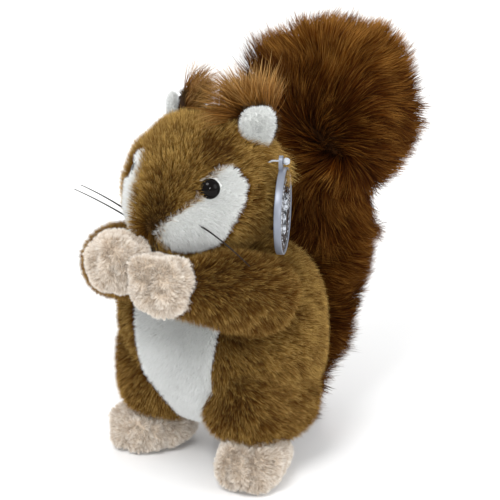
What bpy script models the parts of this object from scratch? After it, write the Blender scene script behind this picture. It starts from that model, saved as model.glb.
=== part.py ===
"""A plush squirrel that stands on its feet, with its paws at its mouth and a curled tail behind.

Sizes are in metres. The squirrel faces -Y, its left side is +X, and it stands on Z = 0.
Each cover is a shell whose outer face is where the tips of its pile lie, with its stuffing inside.
"""

import math

import bmesh
import bpy
import numpy as np
from mathutils import Matrix, Vector

OBJECT_NAME = "plush_squirrel"

# Left between any two pieces that touch.
GAP = 0.0003

# Cloth and pile together.
SHORT_WALL = 0.0035
BODY_WALL = 0.005
TAIL_WALL = 0.010

# Body: a barrel that narrows towards the hips.
BODY_HALF_WIDTH = 0.056
BODY_HALF_DEPTH = 0.046
BODY_HALF_HEIGHT = 0.0535
BODY_ABOVE_FLOOR = 0.0155
BODY_BACK = 0.002
BODY_FULLNESS = 2.3
HIP_TAPER = 0.10

# White belly panel, in the front of the body: wide at the top, narrow at its lower end.
BELLY_BELOW_TOP = 0.0125
BELLY_ABOVE_BOTTOM = 0.0015
BELLY_TOP_HALF_WIDTH = 0.028
BELLY_LOW_HALF_WIDTH = 0.016
BELLY_FRONT_DEPTH = 0.032

# Head: an egg with a short muzzle and full cheeks.
HEAD_HALF_WIDTH = 0.039
HEAD_HALF_DEPTH = 0.037
HEAD_HALF_HEIGHT = 0.035
HEAD_FORWARD = 0.010
NECK_SINK = 0.0075
NECK_RADIUS = 0.016
MUZZLE_LENGTH = 0.014
MUZZLE_SPREAD = math.radians(33)
MUZZLE_DROP = math.radians(19)
CHEEK_FULLNESS = 0.004
CHEEK_SPREAD = math.radians(30)
CHEEK_AROUND = math.radians(62)
CHEEK_DROP = math.radians(14)

# White face patches: an outline on the head, in degrees round from the nose and up from level.
PATCH_OUTLINE = [(6, -17), (9, -11), (20, -3), (29, 5), (40, 21), (49, 27), (60, 26), (66, 13), (62, 2),
                 (55, -9), (50, -20), (45, -30), (33, -36), (21, -34), (9, -26)]
PATCH_CUT_FROM = 0.4
PATCH_CUT_TO = 2.2

# Eyes: a dome on a shank, locked by a washer inside the head.
EYE_RADIUS = 0.005
EYE_HEIGHT = 0.0036
EYE_SEAT = 0.0022
EYE_AROUND = math.radians(39)
EYE_UP = math.radians(12)
SHANK_RADIUS = 0.0016
SHANK_LENGTH = 0.011
WASHER_RADIUS = 0.006
WASHER_THICKNESS = 0.0012

# Nose: a small dark button under the muzzle's tip.
NOSE_DROP = math.radians(27)
NOSE_HALF_WIDTH = 0.0045
NOSE_HALF_HEIGHT = 0.0035
NOSE_HALF_DEPTH = 0.0035
NOSE_STANDS_OUT = 0.0008

# Ears: a round back whose long pile stands up as a tuft, and a white lining on its outer face.
EAR_ACROSS = 0.023
EAR_BACK = 0.002
EAR_ABOVE_HEAD = -0.0065
EAR_HALF_WIDTH = 0.0125
EAR_HALF_HEIGHT = 0.0125
EAR_HALF_THICKNESS = 0.006
EAR_TURN = math.radians(50)
LINING_INSET = 0.0015
LINING_HALF_THICKNESS = 0.003
TUFT_HALF_WIDTH = 0.0155
TUFT_HALF_DEPTH = 0.009
TUFT_HALF_HEIGHT = 0.0115
TUFT_ABOVE_EAR = 0.011
TUFT_INWARD = 0.007

# Whiskers: nylon filament, rooted in the face patches: in degrees round and up where each leaves the head,
# then its tip and how far its middle is bowed.
WHISKER_RADIUS = 0.0004
WHISKER_ROOT_DEPTH = 0.006
WHISKER_NAMES = ["whisker_right_upper", "whisker_right_lower", "whisker_left"]
WHISKER_ROOTS = [(-38, -16), (-37, -22), (33, -12)]
WHISKER_TIPS = [(-0.059, -0.036, 0.1422), (-0.0615, -0.038, 0.1400), (0.054, -0.049, 0.1290)]
WHISKER_BOWS = [(0.0, 0.0, 0.0012), (0.0, 0.0, 0.0012), (0.0, -0.002, 0.004)]

# Arms: sleeves from the shoulders to the paws at the mouth.
SHOULDER_INSIDE = 0.022
SHOULDER_FORWARD = 0.005
SHOULDER_BELOW_TOP = 0.028
ARM_RADIUS = 0.020
WRIST_RADIUS = 0.0155
ELBOW_OUT = 0.0315
ELBOW_FORWARD = 0.038
ELBOW_BELOW_TOP = 0.014
UPPER_ARM_ALONG = 0.45
UPPER_ARM_OUT = 0.005
FOREARM_ALONG = 0.55
FOREARM_FORWARD = 0.004
SHOULDER_SLIMMER = 0.9
PALM_SLIMMER = 0.85
ARM_BLUNTNESS = 5.0

# Paws: mittens with a thumb, held a little to the left, the right one a little higher.
PAW_HALF_WIDTH = 0.017
PAW_HALF_DEPTH = 0.015
PAW_HALF_HEIGHT = 0.0155
PAW_FORWARD = 0.067
PAW_ACROSS = 0.0138
PAWS_TO_LEFT = 0.0032
LEFT_PAW_BELOW_TOP = 0.006
RIGHT_PAW_HIGHER = 0.0055
THUMB_INWARD = 0.5
THUMB_AHEAD = 0.6
THUMB_UP = 0.8
THUMB_HEIGHT = 0.003
THUMB_SPREAD = math.radians(30)

# Legs: full lobes at the hips.
LEG_ACROSS = 0.0265
LEG_FORWARD = 0.0045
LEG_HEIGHT = 0.046
LEG_HALF_WIDTH = 0.026
LEG_HALF_DEPTH = 0.034
LEG_HALF_HEIGHT = 0.031
LEG_FULLNESS = 2.5
HEM_FULLNESS = 0.004
HEM_SPREAD = math.radians(32)
HEM_OUT = 0.6
HEM_BACK = 0.45
HEM_DOWN = 0.66

# Feet: cushions with flat soles, turned outwards, the right one a little further back.
FOOT_ACROSS = 0.033
FOOT_FORWARD = 0.0175
RIGHT_FOOT_BACK = 0.0035
FOOT_CENTRE_HEIGHT = 0.011
FOOT_TURN = math.radians(20)
FOOT_HALF_WIDTH = 0.019
FOOT_HALF_DEPTH = 0.0255
FOOT_HALF_HEIGHT = 0.0145
FOOT_FULLNESS = 2.4
ANKLE_RADIUS = 0.0095

# Tail: stations along its middle, each (distance behind the body, height, half width across, half depth).
# It stands on the floor against the lower back, rises behind the body and ends in a full lobe that leans back.
TAIL_ACROSS = 0.005
TAIL_BLUNTNESS = 5.0
TAIL_RINGS = 18
TAIL_STATIONS = [
    (0.006, -0.016, 0.019, 0.019),
    (0.008, 0.022, 0.025, 0.0215),
    (0.0155, 0.046, 0.030, 0.0255),
    (0.0235, 0.073, 0.034, 0.0265),
    (0.029, 0.102, 0.036, 0.0255),
    (0.030, 0.129, 0.0355, 0.026),
    (0.041, 0.154, 0.046, 0.040),
    (0.0495, 0.178, 0.047, 0.041),
    (0.0505, 0.207, 0.037, 0.032),
]

# The seam where the tail is sewn to the lower back, left open inside.
TAIL_SEAM_RADIUS = 0.010
TAIL_SEAM_HEIGHT = 0.050

# Hang tag: a disc with a round rim, hung by a pin with a bead.
TAG_RADIUS = 0.021
TAG_THICKNESS = 0.0036
TAG_FACE_INSET = 0.003
TAG_FACE_DEPTH = 0.0006
TAG_LUG_RADIUS = 0.0026
TAG_LUG_OUT = 0.0016
TAG_LUG_THICKNESS = 0.0018
TAG_FACING = math.radians(28)
TAG_SLIDES_FORWARD = 0.017
TAG_BELOW_MIDDLE = 0.0075
PIN_RADIUS = 0.0006
PIN_ROOT_DEPTH = 0.006
PIN_PAST_TAG = 0.0012
BEAD_RADIUS = 0.0016

# Sewn-in label beside the root of the tail.
LABEL_WIDTH = 0.009
LABEL_REACH = 0.009
LABEL_THICKNESS = 0.0008
LABEL_ACROSS = 0.0255
LABEL_BEFORE_REAR = 0.0035
LABEL_HEIGHT = 0.017
LABEL_TURN = math.radians(-45)

# Mesh fineness.
SEGMENTS = 18
RINGS = 12
SMALL_SEGMENTS = 12
SMALL_RINGS = 8

# How far a hole's cutter goes on past the surface it opens.
CUT_PAST = 0.004

LEFT, RIGHT = 1, -1
SIDE_NAMES = {LEFT: "left", RIGHT: "right"}
UP = Vector((0, 0, 1))

BODY_CENTRE = Vector((0, BODY_BACK, BODY_ABOVE_FLOOR + BODY_HALF_HEIGHT))
BODY_TOP = BODY_CENTRE.z + BODY_HALF_HEIGHT
BODY_REAR = BODY_CENTRE.y + BODY_HALF_DEPTH
HEAD_CENTRE = Vector((0, -HEAD_FORWARD, BODY_TOP + HEAD_HALF_HEIGHT - NECK_SINK))
HEAD_TOP = HEAD_CENTRE.z + HEAD_HALF_HEIGHT


def clear_objects():
    for old in list(bpy.data.objects):
        bpy.data.objects.remove(old, do_unlink=True)


def new_collection(name):
    made = bpy.data.collections.new(name)
    bpy.context.scene.collection.children.link(made)
    return made


clear_objects()
PIECES = new_collection(OBJECT_NAME)
CUTTERS = new_collection("cutters")


def material(name, color, roughness, metallic=0.0):
    made = bpy.data.materials.new(name)
    made.use_nodes = True
    shader = made.node_tree.nodes["Principled BSDF"]
    shader.inputs["Base Color"].default_value = (*color, 1.0)
    shader.inputs["Roughness"].default_value = roughness
    shader.inputs["Metallic"].default_value = metallic
    return made


def add(name, data, finish=None):
    """Puts mesh or curve data in the scene: a piece when it has a finish, a cutter when not."""
    made = bpy.data.objects.new(name, data)
    if finish is None:
        CUTTERS.objects.link(made)
        made.hide_render = True
        made.display_type = "WIRE"
    else:
        PIECES.objects.link(made)
        data.materials.append(finish)
    return made


def mesh_from(shape, name):
    """Every face is split the same way, so two skins of one form, one inside the other, never cross."""
    mesh = bpy.data.meshes.new(name)
    bmesh.ops.recalc_face_normals(shape, faces=shape.faces)
    bmesh.ops.triangulate(shape, faces=shape.faces, quad_method="FIXED", ngon_method="EAR_CLIP")
    shape.to_mesh(mesh)
    shape.free()
    mesh.shade_smooth()
    return mesh


def boolean(piece, tool, operation="DIFFERENCE"):
    step = piece.modifiers.new(operation.title(), "BOOLEAN")
    step.operation = operation
    step.solver = "EXACT"
    step.object = tool


def cut(piece, *tools):
    for tool in tools:
        boolean(piece, tool)


def surface_reach(way, radii, fullness, bumps):
    """How far a lobe's surface lies from its centre along the direction `way`."""
    reach = sum(abs(w / r) ** fullness for w, r in zip(way, radii)) ** (-1.0 / fullness)
    for aim, height, spread in bumps:
        reach += height * math.exp(-((way.angle(aim) / spread) ** 2))
    return reach


def lobe(name, centre, radii, finish=None, grow=0.0, fullness=2.0, bumps=(), turn=0.0, taper=0.0,
         floor=None, segments=SEGMENTS, rings=RINGS):
    """A ball shaped into a stuffed lobe. `grow` moves its whole surface out, or in when negative."""
    if grow < 0:
        segments, rings = SMALL_SEGMENTS, SMALL_RINGS
    shape = bmesh.new()
    bmesh.ops.create_uvsphere(shape, u_segments=segments, v_segments=rings, radius=1.0)
    for vert in shape.verts:
        way = vert.co.normalized()
        vert.co = way * (surface_reach(way, radii, fullness, bumps) + grow)
        narrowing = 1.0 - taper * max(0.0, -way.z)
        vert.co.x *= narrowing
        vert.co.y *= narrowing
    bmesh.ops.rotate(shape, verts=shape.verts, matrix=Matrix.Rotation(turn, 3, "Z"))
    bmesh.ops.translate(shape, verts=shape.verts, vec=centre)
    if floor is not None:
        for vert in shape.verts:
            vert.co.z = max(vert.co.z, floor - grow)
    return add(name, mesh_from(shape, name), finish)


def along(stations, t):
    """A smooth curve through the stations (Catmull-Rom), at t from 0 to 1."""
    rows = np.array(stations, dtype=float)
    rows = np.vstack([2 * rows[0] - rows[1], rows, 2 * rows[-1] - rows[-2]])
    place = min(max(t, 0.0), 1.0) * (len(stations) - 1)
    i = min(int(place), len(stations) - 2)
    u = place - i
    a, b, c, d = rows[i : i + 4]
    return 0.5 * (2 * b + (c - a) * u + (2 * a - 5 * b + 4 * c - d) * u**2 + (3 * b - a - 3 * c + d) * u**3)


def bent_lobe(name, stations, across, finish=None, grow=0.0, bluntness=3.0, floor=None,
              segments=SEGMENTS, rings=RINGS):
    """A ball drawn out along a bent path of (x, y, z, half width, half depth) stations."""
    if grow < 0:
        segments = SMALL_SEGMENTS
    shape = bmesh.new()
    bmesh.ops.create_uvsphere(shape, u_segments=segments, v_segments=rings, radius=1.0)
    step = 0.01
    for vert in shape.verts:
        height = max(-1.0, min(1.0, vert.co.z))
        t = 0.5 - math.asin(height) / math.pi
        row = along(stations, t)
        ahead, behind = along(stations, t + step), along(stations, t - step)
        forward = Vector(ahead[:3] - behind[:3]).normalized()
        sideways = (across - forward * across.dot(forward)).normalized()
        outward = forward.cross(sideways)
        fill = (1.0 - abs(2 * t - 1) ** bluntness) ** (1.0 / bluntness)
        ring = Vector((vert.co.x, vert.co.y)).normalized() if fill > 1e-6 else Vector((0, 0))
        vert.co = (
            Vector(row[:3])
            + sideways * ring.x * fill * (row[3] + grow)
            + outward * ring.y * fill * (row[4] + grow)
            + forward * (2 * t - 1) * grow
        )
        if floor is not None:
            vert.co.z = max(vert.co.z, floor - grow)
    return add(name, mesh_from(shape, name), finish)


def cylinder(name, start, end, radius, segments=SMALL_SEGMENTS):
    """A cutter between two points."""
    shape = bmesh.new()
    length = (end - start).length
    turn = UP.rotation_difference(end - start).to_matrix().to_4x4()
    bmesh.ops.create_cone(
        shape, cap_ends=True, segments=segments, radius1=radius, radius2=radius, depth=length,
        matrix=Matrix.Translation((start + end) / 2) @ turn,
    )
    return add(name, mesh_from(shape, name))


def turned(name, profile, place, aim, finish=None, steps=16, closed=False):
    """A profile of (radius, height) points, top to bottom, turned about an axis at `place` along `aim`."""
    mesh = bpy.data.meshes.new(name)
    ends = range(len(profile)) if closed else range(len(profile) - 1)
    edges = [(i, (i + 1) % len(profile)) for i in ends]
    mesh.from_pydata([(radius, 0, height) for radius, height in profile], edges, [])
    made = add(name, mesh, finish)
    screw = made.modifiers.new("Turn", "SCREW")
    screw.steps = screw.render_steps = steps
    screw.use_merge_vertices = True
    screw.merge_threshold = 0.00001
    made.rotation_mode = "QUATERNION"
    made.rotation_quaternion = UP.rotation_difference(aim)
    made.location = place
    return made


def sided(side, x, y, z):
    """A point given for the left side, on the side asked for."""
    return Vector((side * x, y, z))


def way_on_head(around, up):
    """The direction from the head's centre that lies `around` the head from the nose and `up` from level."""
    return Vector((math.sin(around) * math.cos(up), -math.cos(around) * math.cos(up), math.sin(up)))


MUZZLE_WAY = way_on_head(0, -MUZZLE_DROP)
HEAD_RADII = (HEAD_HALF_WIDTH, HEAD_HALF_DEPTH, HEAD_HALF_HEIGHT)
HEAD_BUMPS = [
    (MUZZLE_WAY, MUZZLE_LENGTH, MUZZLE_SPREAD),
    (way_on_head(CHEEK_AROUND, -CHEEK_DROP), CHEEK_FULLNESS, CHEEK_SPREAD),
    (way_on_head(-CHEEK_AROUND, -CHEEK_DROP), CHEEK_FULLNESS, CHEEK_SPREAD),
]


def head_lobe(name, grow, finish=None):
    return lobe(name, HEAD_CENTRE, HEAD_RADII, finish, grow, bumps=HEAD_BUMPS)


def on_head(way, below=0.0):
    """The point of the head's surface in the direction `way`, or `below` it."""
    return HEAD_CENTRE + way * (surface_reach(way, HEAD_RADII, 2.0, HEAD_BUMPS) - below)


def body_lobe(name, grow, finish=None):
    radii = (BODY_HALF_WIDTH, BODY_HALF_DEPTH, BODY_HALF_HEIGHT)
    return lobe(name, BODY_CENTRE, radii, finish, grow, fullness=BODY_FULLNESS, taper=HIP_TAPER)


def leg_lobe(name, side, grow, finish=None):
    centre = sided(side, LEG_ACROSS, -LEG_FORWARD, LEG_HEIGHT)
    radii = (LEG_HALF_WIDTH, LEG_HALF_DEPTH, LEG_HALF_HEIGHT)
    hem = (sided(side, HEM_OUT, HEM_BACK, -HEM_DOWN).normalized(), HEM_FULLNESS, HEM_SPREAD)
    return lobe(name, centre, radii, finish, grow, fullness=LEG_FULLNESS, bumps=[hem],
                segments=SMALL_SEGMENTS, rings=SMALL_RINGS)


def foot_centre(side):
    forward = FOOT_FORWARD if side == LEFT else FOOT_FORWARD - RIGHT_FOOT_BACK
    return sided(side, FOOT_ACROSS, -forward, FOOT_CENTRE_HEIGHT)


def foot_lobe(name, side, grow, finish=None):
    radii = (FOOT_HALF_WIDTH, FOOT_HALF_DEPTH, FOOT_HALF_HEIGHT)
    return lobe(name, foot_centre(side), radii, finish, grow, fullness=FOOT_FULLNESS, turn=side * FOOT_TURN,
                floor=0.0, segments=SMALL_SEGMENTS, rings=SMALL_RINGS)


def paw_centre(side):
    height = BODY_TOP - LEFT_PAW_BELOW_TOP
    if side == RIGHT:
        height += RIGHT_PAW_HIGHER
    return Vector((side * PAW_ACROSS + PAWS_TO_LEFT, -PAW_FORWARD, height))


def paw_lobe(name, side, grow, finish=None):
    radii = (PAW_HALF_WIDTH, PAW_HALF_DEPTH, PAW_HALF_HEIGHT)
    thumb_way = sided(side, -THUMB_INWARD, -THUMB_AHEAD, THUMB_UP).normalized()
    thumb = (thumb_way, THUMB_HEIGHT, THUMB_SPREAD)
    return lobe(name, paw_centre(side), radii, finish, grow, bumps=[thumb],
                segments=SMALL_SEGMENTS, rings=SMALL_RINGS)


def arm_stations(side):
    """From inside the shoulder, round the elbow, to the middle of the paw."""
    paw = paw_centre(side)
    shoulder = sided(side, BODY_HALF_WIDTH - SHOULDER_INSIDE, BODY_BACK - SHOULDER_FORWARD,
                     BODY_TOP - SHOULDER_BELOW_TOP)
    elbow = sided(side, ELBOW_OUT, -ELBOW_FORWARD, BODY_TOP - ELBOW_BELOW_TOP)
    upper = shoulder.lerp(elbow, UPPER_ARM_ALONG) + sided(side, UPPER_ARM_OUT, 0, 0)
    wrist = elbow.lerp(paw, FOREARM_ALONG) + Vector((0, -FOREARM_FORWARD, 0))
    radii = (ARM_RADIUS * SHOULDER_SLIMMER, ARM_RADIUS, ARM_RADIUS, WRIST_RADIUS, WRIST_RADIUS * PALM_SLIMMER)
    return [(*point, radius, radius) for point, radius in zip((shoulder, upper, elbow, wrist, paw), radii)]


def arm_lobe(name, side, grow, finish=None):
    return bent_lobe(name, arm_stations(side), UP, finish, grow, bluntness=ARM_BLUNTNESS,
                     segments=SMALL_SEGMENTS, rings=SMALL_RINGS)


def tail_lobe(name, grow, finish=None):
    stations = [(TAIL_ACROSS, BODY_REAR + behind, *row) for behind, *row in TAIL_STATIONS]
    return bent_lobe(name, stations, Vector((1, 0, 0)), finish, grow, bluntness=TAIL_BLUNTNESS, floor=0.0,
                     rings=TAIL_RINGS)


def patch_cone(name, side, grow):
    """A cone from inside the head through a face patch's outline, `grow` wider at the surface."""
    ways = [way_on_head(side * math.radians(around), math.radians(up)) for around, up in PATCH_OUTLINE]
    middle = sum(ways, Vector()).normalized()
    shape = bmesh.new()
    rings = []
    for reach in (HEAD_HALF_DEPTH * PATCH_CUT_FROM, HEAD_HALF_DEPTH * PATCH_CUT_TO):
        ring = []
        for way in ways:
            aside = (way - middle * way.dot(middle)).normalized()
            ring.append(shape.verts.new(HEAD_CENTRE + way * reach + aside * grow))
        rings.append(ring)
    inner, outer = rings
    for i in range(len(ways)):
        j = (i + 1) % len(ways)
        shape.faces.new((inner[i], inner[j], outer[j], outer[i]))
    shape.faces.new(inner)
    shape.faces.new(outer)
    return add(name, mesh_from(shape, name))


def belly_prism(name, grow):
    """The belly panel's outline, extruded from in front of the body back through its front wall."""
    top = BODY_TOP - BELLY_BELOW_TOP + grow
    bottom = BODY_ABOVE_FLOOR + BELLY_ABOVE_BOTTOM - grow
    rows = 9
    right_edge = []
    for i in range(rows):
        share = i / (rows - 1)
        half_width = BELLY_LOW_HALF_WIDTH + (BELLY_TOP_HALF_WIDTH - BELLY_LOW_HALF_WIDTH) * share
        right_edge.append((half_width + grow, bottom + (top - bottom) * share))
    outline = right_edge + [(-x, z) for x, z in reversed(right_edge)]
    shape = bmesh.new()
    before = BODY_CENTRE.y - BODY_HALF_DEPTH * 2
    reach = BODY_HALF_DEPTH + BELLY_FRONT_DEPTH + grow
    front = [shape.verts.new((x, before, z)) for x, z in outline]
    face = shape.faces.new(front)
    drawn = bmesh.ops.extrude_face_region(shape, geom=[face])
    moved = [item for item in drawn["geom"] if isinstance(item, bmesh.types.BMVert)]
    bmesh.ops.translate(shape, verts=moved, vec=(0, reach, 0))
    return add(name, mesh_from(shape, name))


def wire(name, points, radius, finish=None):
    """A round wire through the points, as a mesh that can be joined and cut."""
    curve = bpy.data.curves.new(name, "CURVE")
    curve.dimensions = "3D"
    curve.bevel_depth = radius
    curve.bevel_resolution = 1
    curve.use_fill_caps = True
    spline = curve.splines.new("POLY")
    spline.points.add(len(points) - 1)
    for spot, point in zip(spline.points, points):
        spot.co = (*point, 1.0)
    drawn = bpy.data.objects.new(name, curve)
    CUTTERS.objects.link(drawn)
    seen = drawn.evaluated_get(bpy.context.evaluated_depsgraph_get())
    shape = bmesh.new()
    shape.from_mesh(bpy.data.meshes.new_from_object(seen))
    bmesh.ops.remove_doubles(shape, verts=shape.verts, dist=0.000001)
    bpy.data.objects.remove(drawn, do_unlink=True)
    return add(name, mesh_from(shape, name), finish)


BROWN = material("brown_plush", (0.24, 0.13, 0.045), 0.85)
WHITE = material("white_plush", (0.86, 0.86, 0.86), 0.9)
BEIGE = material("beige_plush", (0.72, 0.60, 0.50), 0.9)
RED_BROWN = material("tail_plush", (0.20, 0.07, 0.025), 0.85)
BLACK = material("eye_black", (0.01, 0.008, 0.006), 0.08)
NYLON = material("whisker_nylon", (0.05, 0.05, 0.05), 0.4)
SILVER = material("tag_silver", (0.55, 0.58, 0.62), 0.25, 0.6)
CLEAR_PLASTIC = material("pin_plastic", (0.85, 0.87, 0.88), 0.3)
ORANGE = material("label_orange", (0.80, 0.25, 0.05), 0.8)
FILL = material("stuffing", (0.9, 0.9, 0.88), 0.95)
LOCK = material("washer_plastic", (0.9, 0.9, 0.9), 0.4)

# The outer forms that other pieces are cut by, each a gap larger than the piece itself.
head_clear = head_lobe("cut_head", GAP)
body_clear = body_lobe("cut_body", GAP)
neck_hole = cylinder("cut_neck", Vector((0, BODY_BACK, HEAD_CENTRE.z)), Vector((0, BODY_BACK, BODY_CENTRE.z)),
                     NECK_RADIUS)
patch_holes = {side: patch_cone(f"cut_patch_{SIDE_NAMES[side]}", side, GAP) for side in (LEFT, RIGHT)}


def make_eye(side):
    """The eye, its washer, and the cutters that make room for both."""
    word = SIDE_NAMES[side]
    way = way_on_head(side * EYE_AROUND, EYE_UP)
    seat = on_head(way, EYE_SEAT)
    dome = [(0.0, EYE_HEIGHT)]
    steps = 5
    for i in range(1, steps + 1):
        angle = math.pi / 2 * i / steps
        dome.append((EYE_RADIUS * math.sin(angle), EYE_HEIGHT * math.cos(angle)))
    profile = dome + [(SHANK_RADIUS, 0.0), (SHANK_RADIUS, -SHANK_LENGTH), (0.0, -SHANK_LENGTH)]
    turned(f"eye_{word}", profile, seat, way, BLACK)
    washer_top = on_head(way, SHORT_WALL + GAP)
    inner, outer = SHANK_RADIUS + GAP, WASHER_RADIUS
    ring = [(inner, 0), (outer, 0), (outer, -WASHER_THICKNESS), (inner, -WASHER_THICKNESS)]
    turned(f"eye_washer_{word}", ring, washer_top, way, LOCK, closed=True)
    return {
        "recess": cylinder(f"cut_eye_{word}", seat - way * GAP, seat + way * CUT_PAST, EYE_RADIUS + GAP, SEGMENTS),
        "shank": cylinder(f"cut_shank_{word}", seat + way * CUT_PAST, seat - way * (SHANK_LENGTH + GAP),
                          SHANK_RADIUS + GAP),
        "washer": cylinder(f"cut_washer_{word}", washer_top + way * GAP,
                           washer_top - way * (WASHER_THICKNESS + GAP), WASHER_RADIUS + GAP),
    }


eye_rooms = {side: make_eye(side) for side in (LEFT, RIGHT)}

def make_whisker(name, leaves_at, tip, bow):
    """A filament from inside the face patch to its tip, in a gentle bow, and the cutter for its hole."""
    around, up = leaves_at
    way = way_on_head(math.radians(around), math.radians(up))
    leaves, tip = on_head(way), Vector(tip)
    bend = leaves.lerp(tip, 0.5) + Vector(bow)
    points = [on_head(way, WHISKER_ROOT_DEPTH), leaves]
    steps = 8
    for i in range(1, steps + 1):
        t = i / steps
        points.append(leaves * (1 - t) ** 2 + bend * 2 * t * (1 - t) + tip * t**2)
    wire(name, points, WHISKER_RADIUS, NYLON)
    return cylinder(f"cut_{name}", on_head(way, WHISKER_ROOT_DEPTH + GAP), on_head(way, -CUT_PAST),
                    WHISKER_RADIUS + GAP, SMALL_RINGS)


whisker_holes = [make_whisker(*each) for each in zip(WHISKER_NAMES, WHISKER_ROOTS, WHISKER_TIPS, WHISKER_BOWS)]


def make_nose():
    centre = on_head(way_on_head(0, -NOSE_DROP), NOSE_HALF_DEPTH - NOSE_STANDS_OUT)
    radii = (NOSE_HALF_WIDTH, NOSE_HALF_DEPTH, NOSE_HALF_HEIGHT)
    size = {"segments": SMALL_SEGMENTS, "rings": SMALL_RINGS}
    lobe("nose", centre, radii, BLACK, **size)
    return lobe("cut_nose", centre, radii, grow=GAP, **size)


nose_room = make_nose()


def make_head():
    cavity = head_lobe("cut_head_cavity", -SHORT_WALL)
    cover = head_lobe("head_cover", 0.0, BROWN)
    cut(cover, cavity, neck_hole, *patch_holes.values(), nose_room)
    fill = head_lobe("head_stuffing", -SHORT_WALL - GAP, FILL)
    for side in (LEFT, RIGHT):
        word = SIDE_NAMES[side]
        patch = head_lobe(f"face_patch_{word}", 0.0, WHITE)
        boolean(patch, patch_cone(f"keep_patch_{word}", side, 0.0), "INTERSECT")
        rooms = eye_rooms[side]
        cut(cover, rooms["recess"], rooms["washer"])
        cut(patch, cavity, rooms["recess"], rooms["shank"], rooms["washer"], nose_room, *whisker_holes)
        cut(fill, rooms["shank"], rooms["washer"])
    cut(fill, *whisker_holes, nose_room)


make_head()


def make_body():
    cavity = body_lobe("cut_body_cavity", -BODY_WALL)
    cover = body_lobe("body_cover", 0.0, BROWN)
    cut(cover, head_clear, cavity, neck_hole, belly_prism("cut_belly", GAP))
    belly = body_lobe("belly_panel", 0.0, WHITE)
    boolean(belly, belly_prism("keep_belly", 0.0), "INTERSECT")
    cut(belly, head_clear, cavity)
    fill = body_lobe("body_stuffing", -BODY_WALL - GAP, FILL)
    cut(fill, head_lobe("cut_head_over_stuffing", BODY_WALL + GAP))


make_body()

paw_clears = {side: paw_lobe(f"cut_paw_{SIDE_NAMES[side]}", side, GAP) for side in (LEFT, RIGHT)}


def make_arm(side):
    word = SIDE_NAMES[side]
    others = [head_clear, body_clear, nose_room]
    if side == RIGHT:
        others.append(paw_clears[LEFT])
    arm_cavity = arm_lobe(f"cut_arm_cavity_{word}", side, -BODY_WALL)
    paw_cavity = paw_lobe(f"cut_paw_cavity_{word}", side, -SHORT_WALL)
    sleeve = arm_lobe(f"arm_{word}", side, 0.0, BROWN)
    cut(sleeve, arm_cavity, paw_clears[LEFT], paw_clears[RIGHT], head_clear, body_clear)
    paw = paw_lobe(f"paw_{word}", side, 0.0, BEIGE)
    cut(paw, paw_cavity, arm_cavity, *others)
    fill = arm_lobe(f"arm_stuffing_{word}", side, -BODY_WALL - GAP, FILL)
    boolean(fill, paw_lobe(f"keep_paw_stuffing_{word}", side, -SHORT_WALL - GAP), "UNION")
    cut(fill, head_lobe(f"cut_head_over_arm_{word}", SHORT_WALL + GAP),
        body_lobe(f"cut_body_over_arm_{word}", GAP))
    if side == RIGHT:
        cut(fill, paw_lobe("cut_paw_over_arm", LEFT, SHORT_WALL + GAP))


for side in (LEFT, RIGHT):
    make_arm(side)


def make_leg(side):
    word = SIDE_NAMES[side]
    foot_clear = foot_lobe(f"cut_foot_{word}", side, GAP)
    ankle = cylinder(f"cut_ankle_{word}", foot_centre(side), foot_centre(side) + UP * LEG_HEIGHT, ANKLE_RADIUS)
    leg = leg_lobe(f"leg_{word}", side, 0.0, BROWN)
    cut(leg, leg_lobe(f"cut_leg_cavity_{word}", side, -BODY_WALL), foot_clear, body_clear)
    leg_fill = leg_lobe(f"leg_stuffing_{word}", side, -BODY_WALL - GAP, FILL)
    cut(leg_fill, foot_lobe(f"cut_foot_over_leg_{word}", side, SHORT_WALL), body_clear)
    foot = foot_lobe(f"foot_{word}", side, 0.0, BEIGE)
    cut(foot, foot_lobe(f"cut_foot_cavity_{word}", side, -SHORT_WALL), ankle, body_clear)
    cut(foot_lobe(f"foot_stuffing_{word}", side, -SHORT_WALL - GAP, FILL), body_clear)


for side in (LEFT, RIGHT):
    make_leg(side)


def make_tail():
    leg_clears = [leg_lobe(f"cut_leg_{SIDE_NAMES[side]}", side, GAP) for side in (LEFT, RIGHT)]
    cover = tail_lobe("tail_cover", 0.0, RED_BROWN)
    seam_end = Vector((TAIL_ACROSS, BODY_REAR + along(TAIL_STATIONS, 0.5)[0], TAIL_SEAM_HEIGHT))
    seam = cylinder("cut_tail_seam", Vector((TAIL_ACROSS, BODY_BACK, TAIL_SEAM_HEIGHT)), seam_end, TAIL_SEAM_RADIUS)
    cut(cover, tail_lobe("cut_tail_cavity", -TAIL_WALL), seam, body_clear, *leg_clears)
    fill = tail_lobe("tail_stuffing", -TAIL_WALL - GAP, FILL)
    cut(fill, body_clear, *leg_clears)


make_tail()


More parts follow.
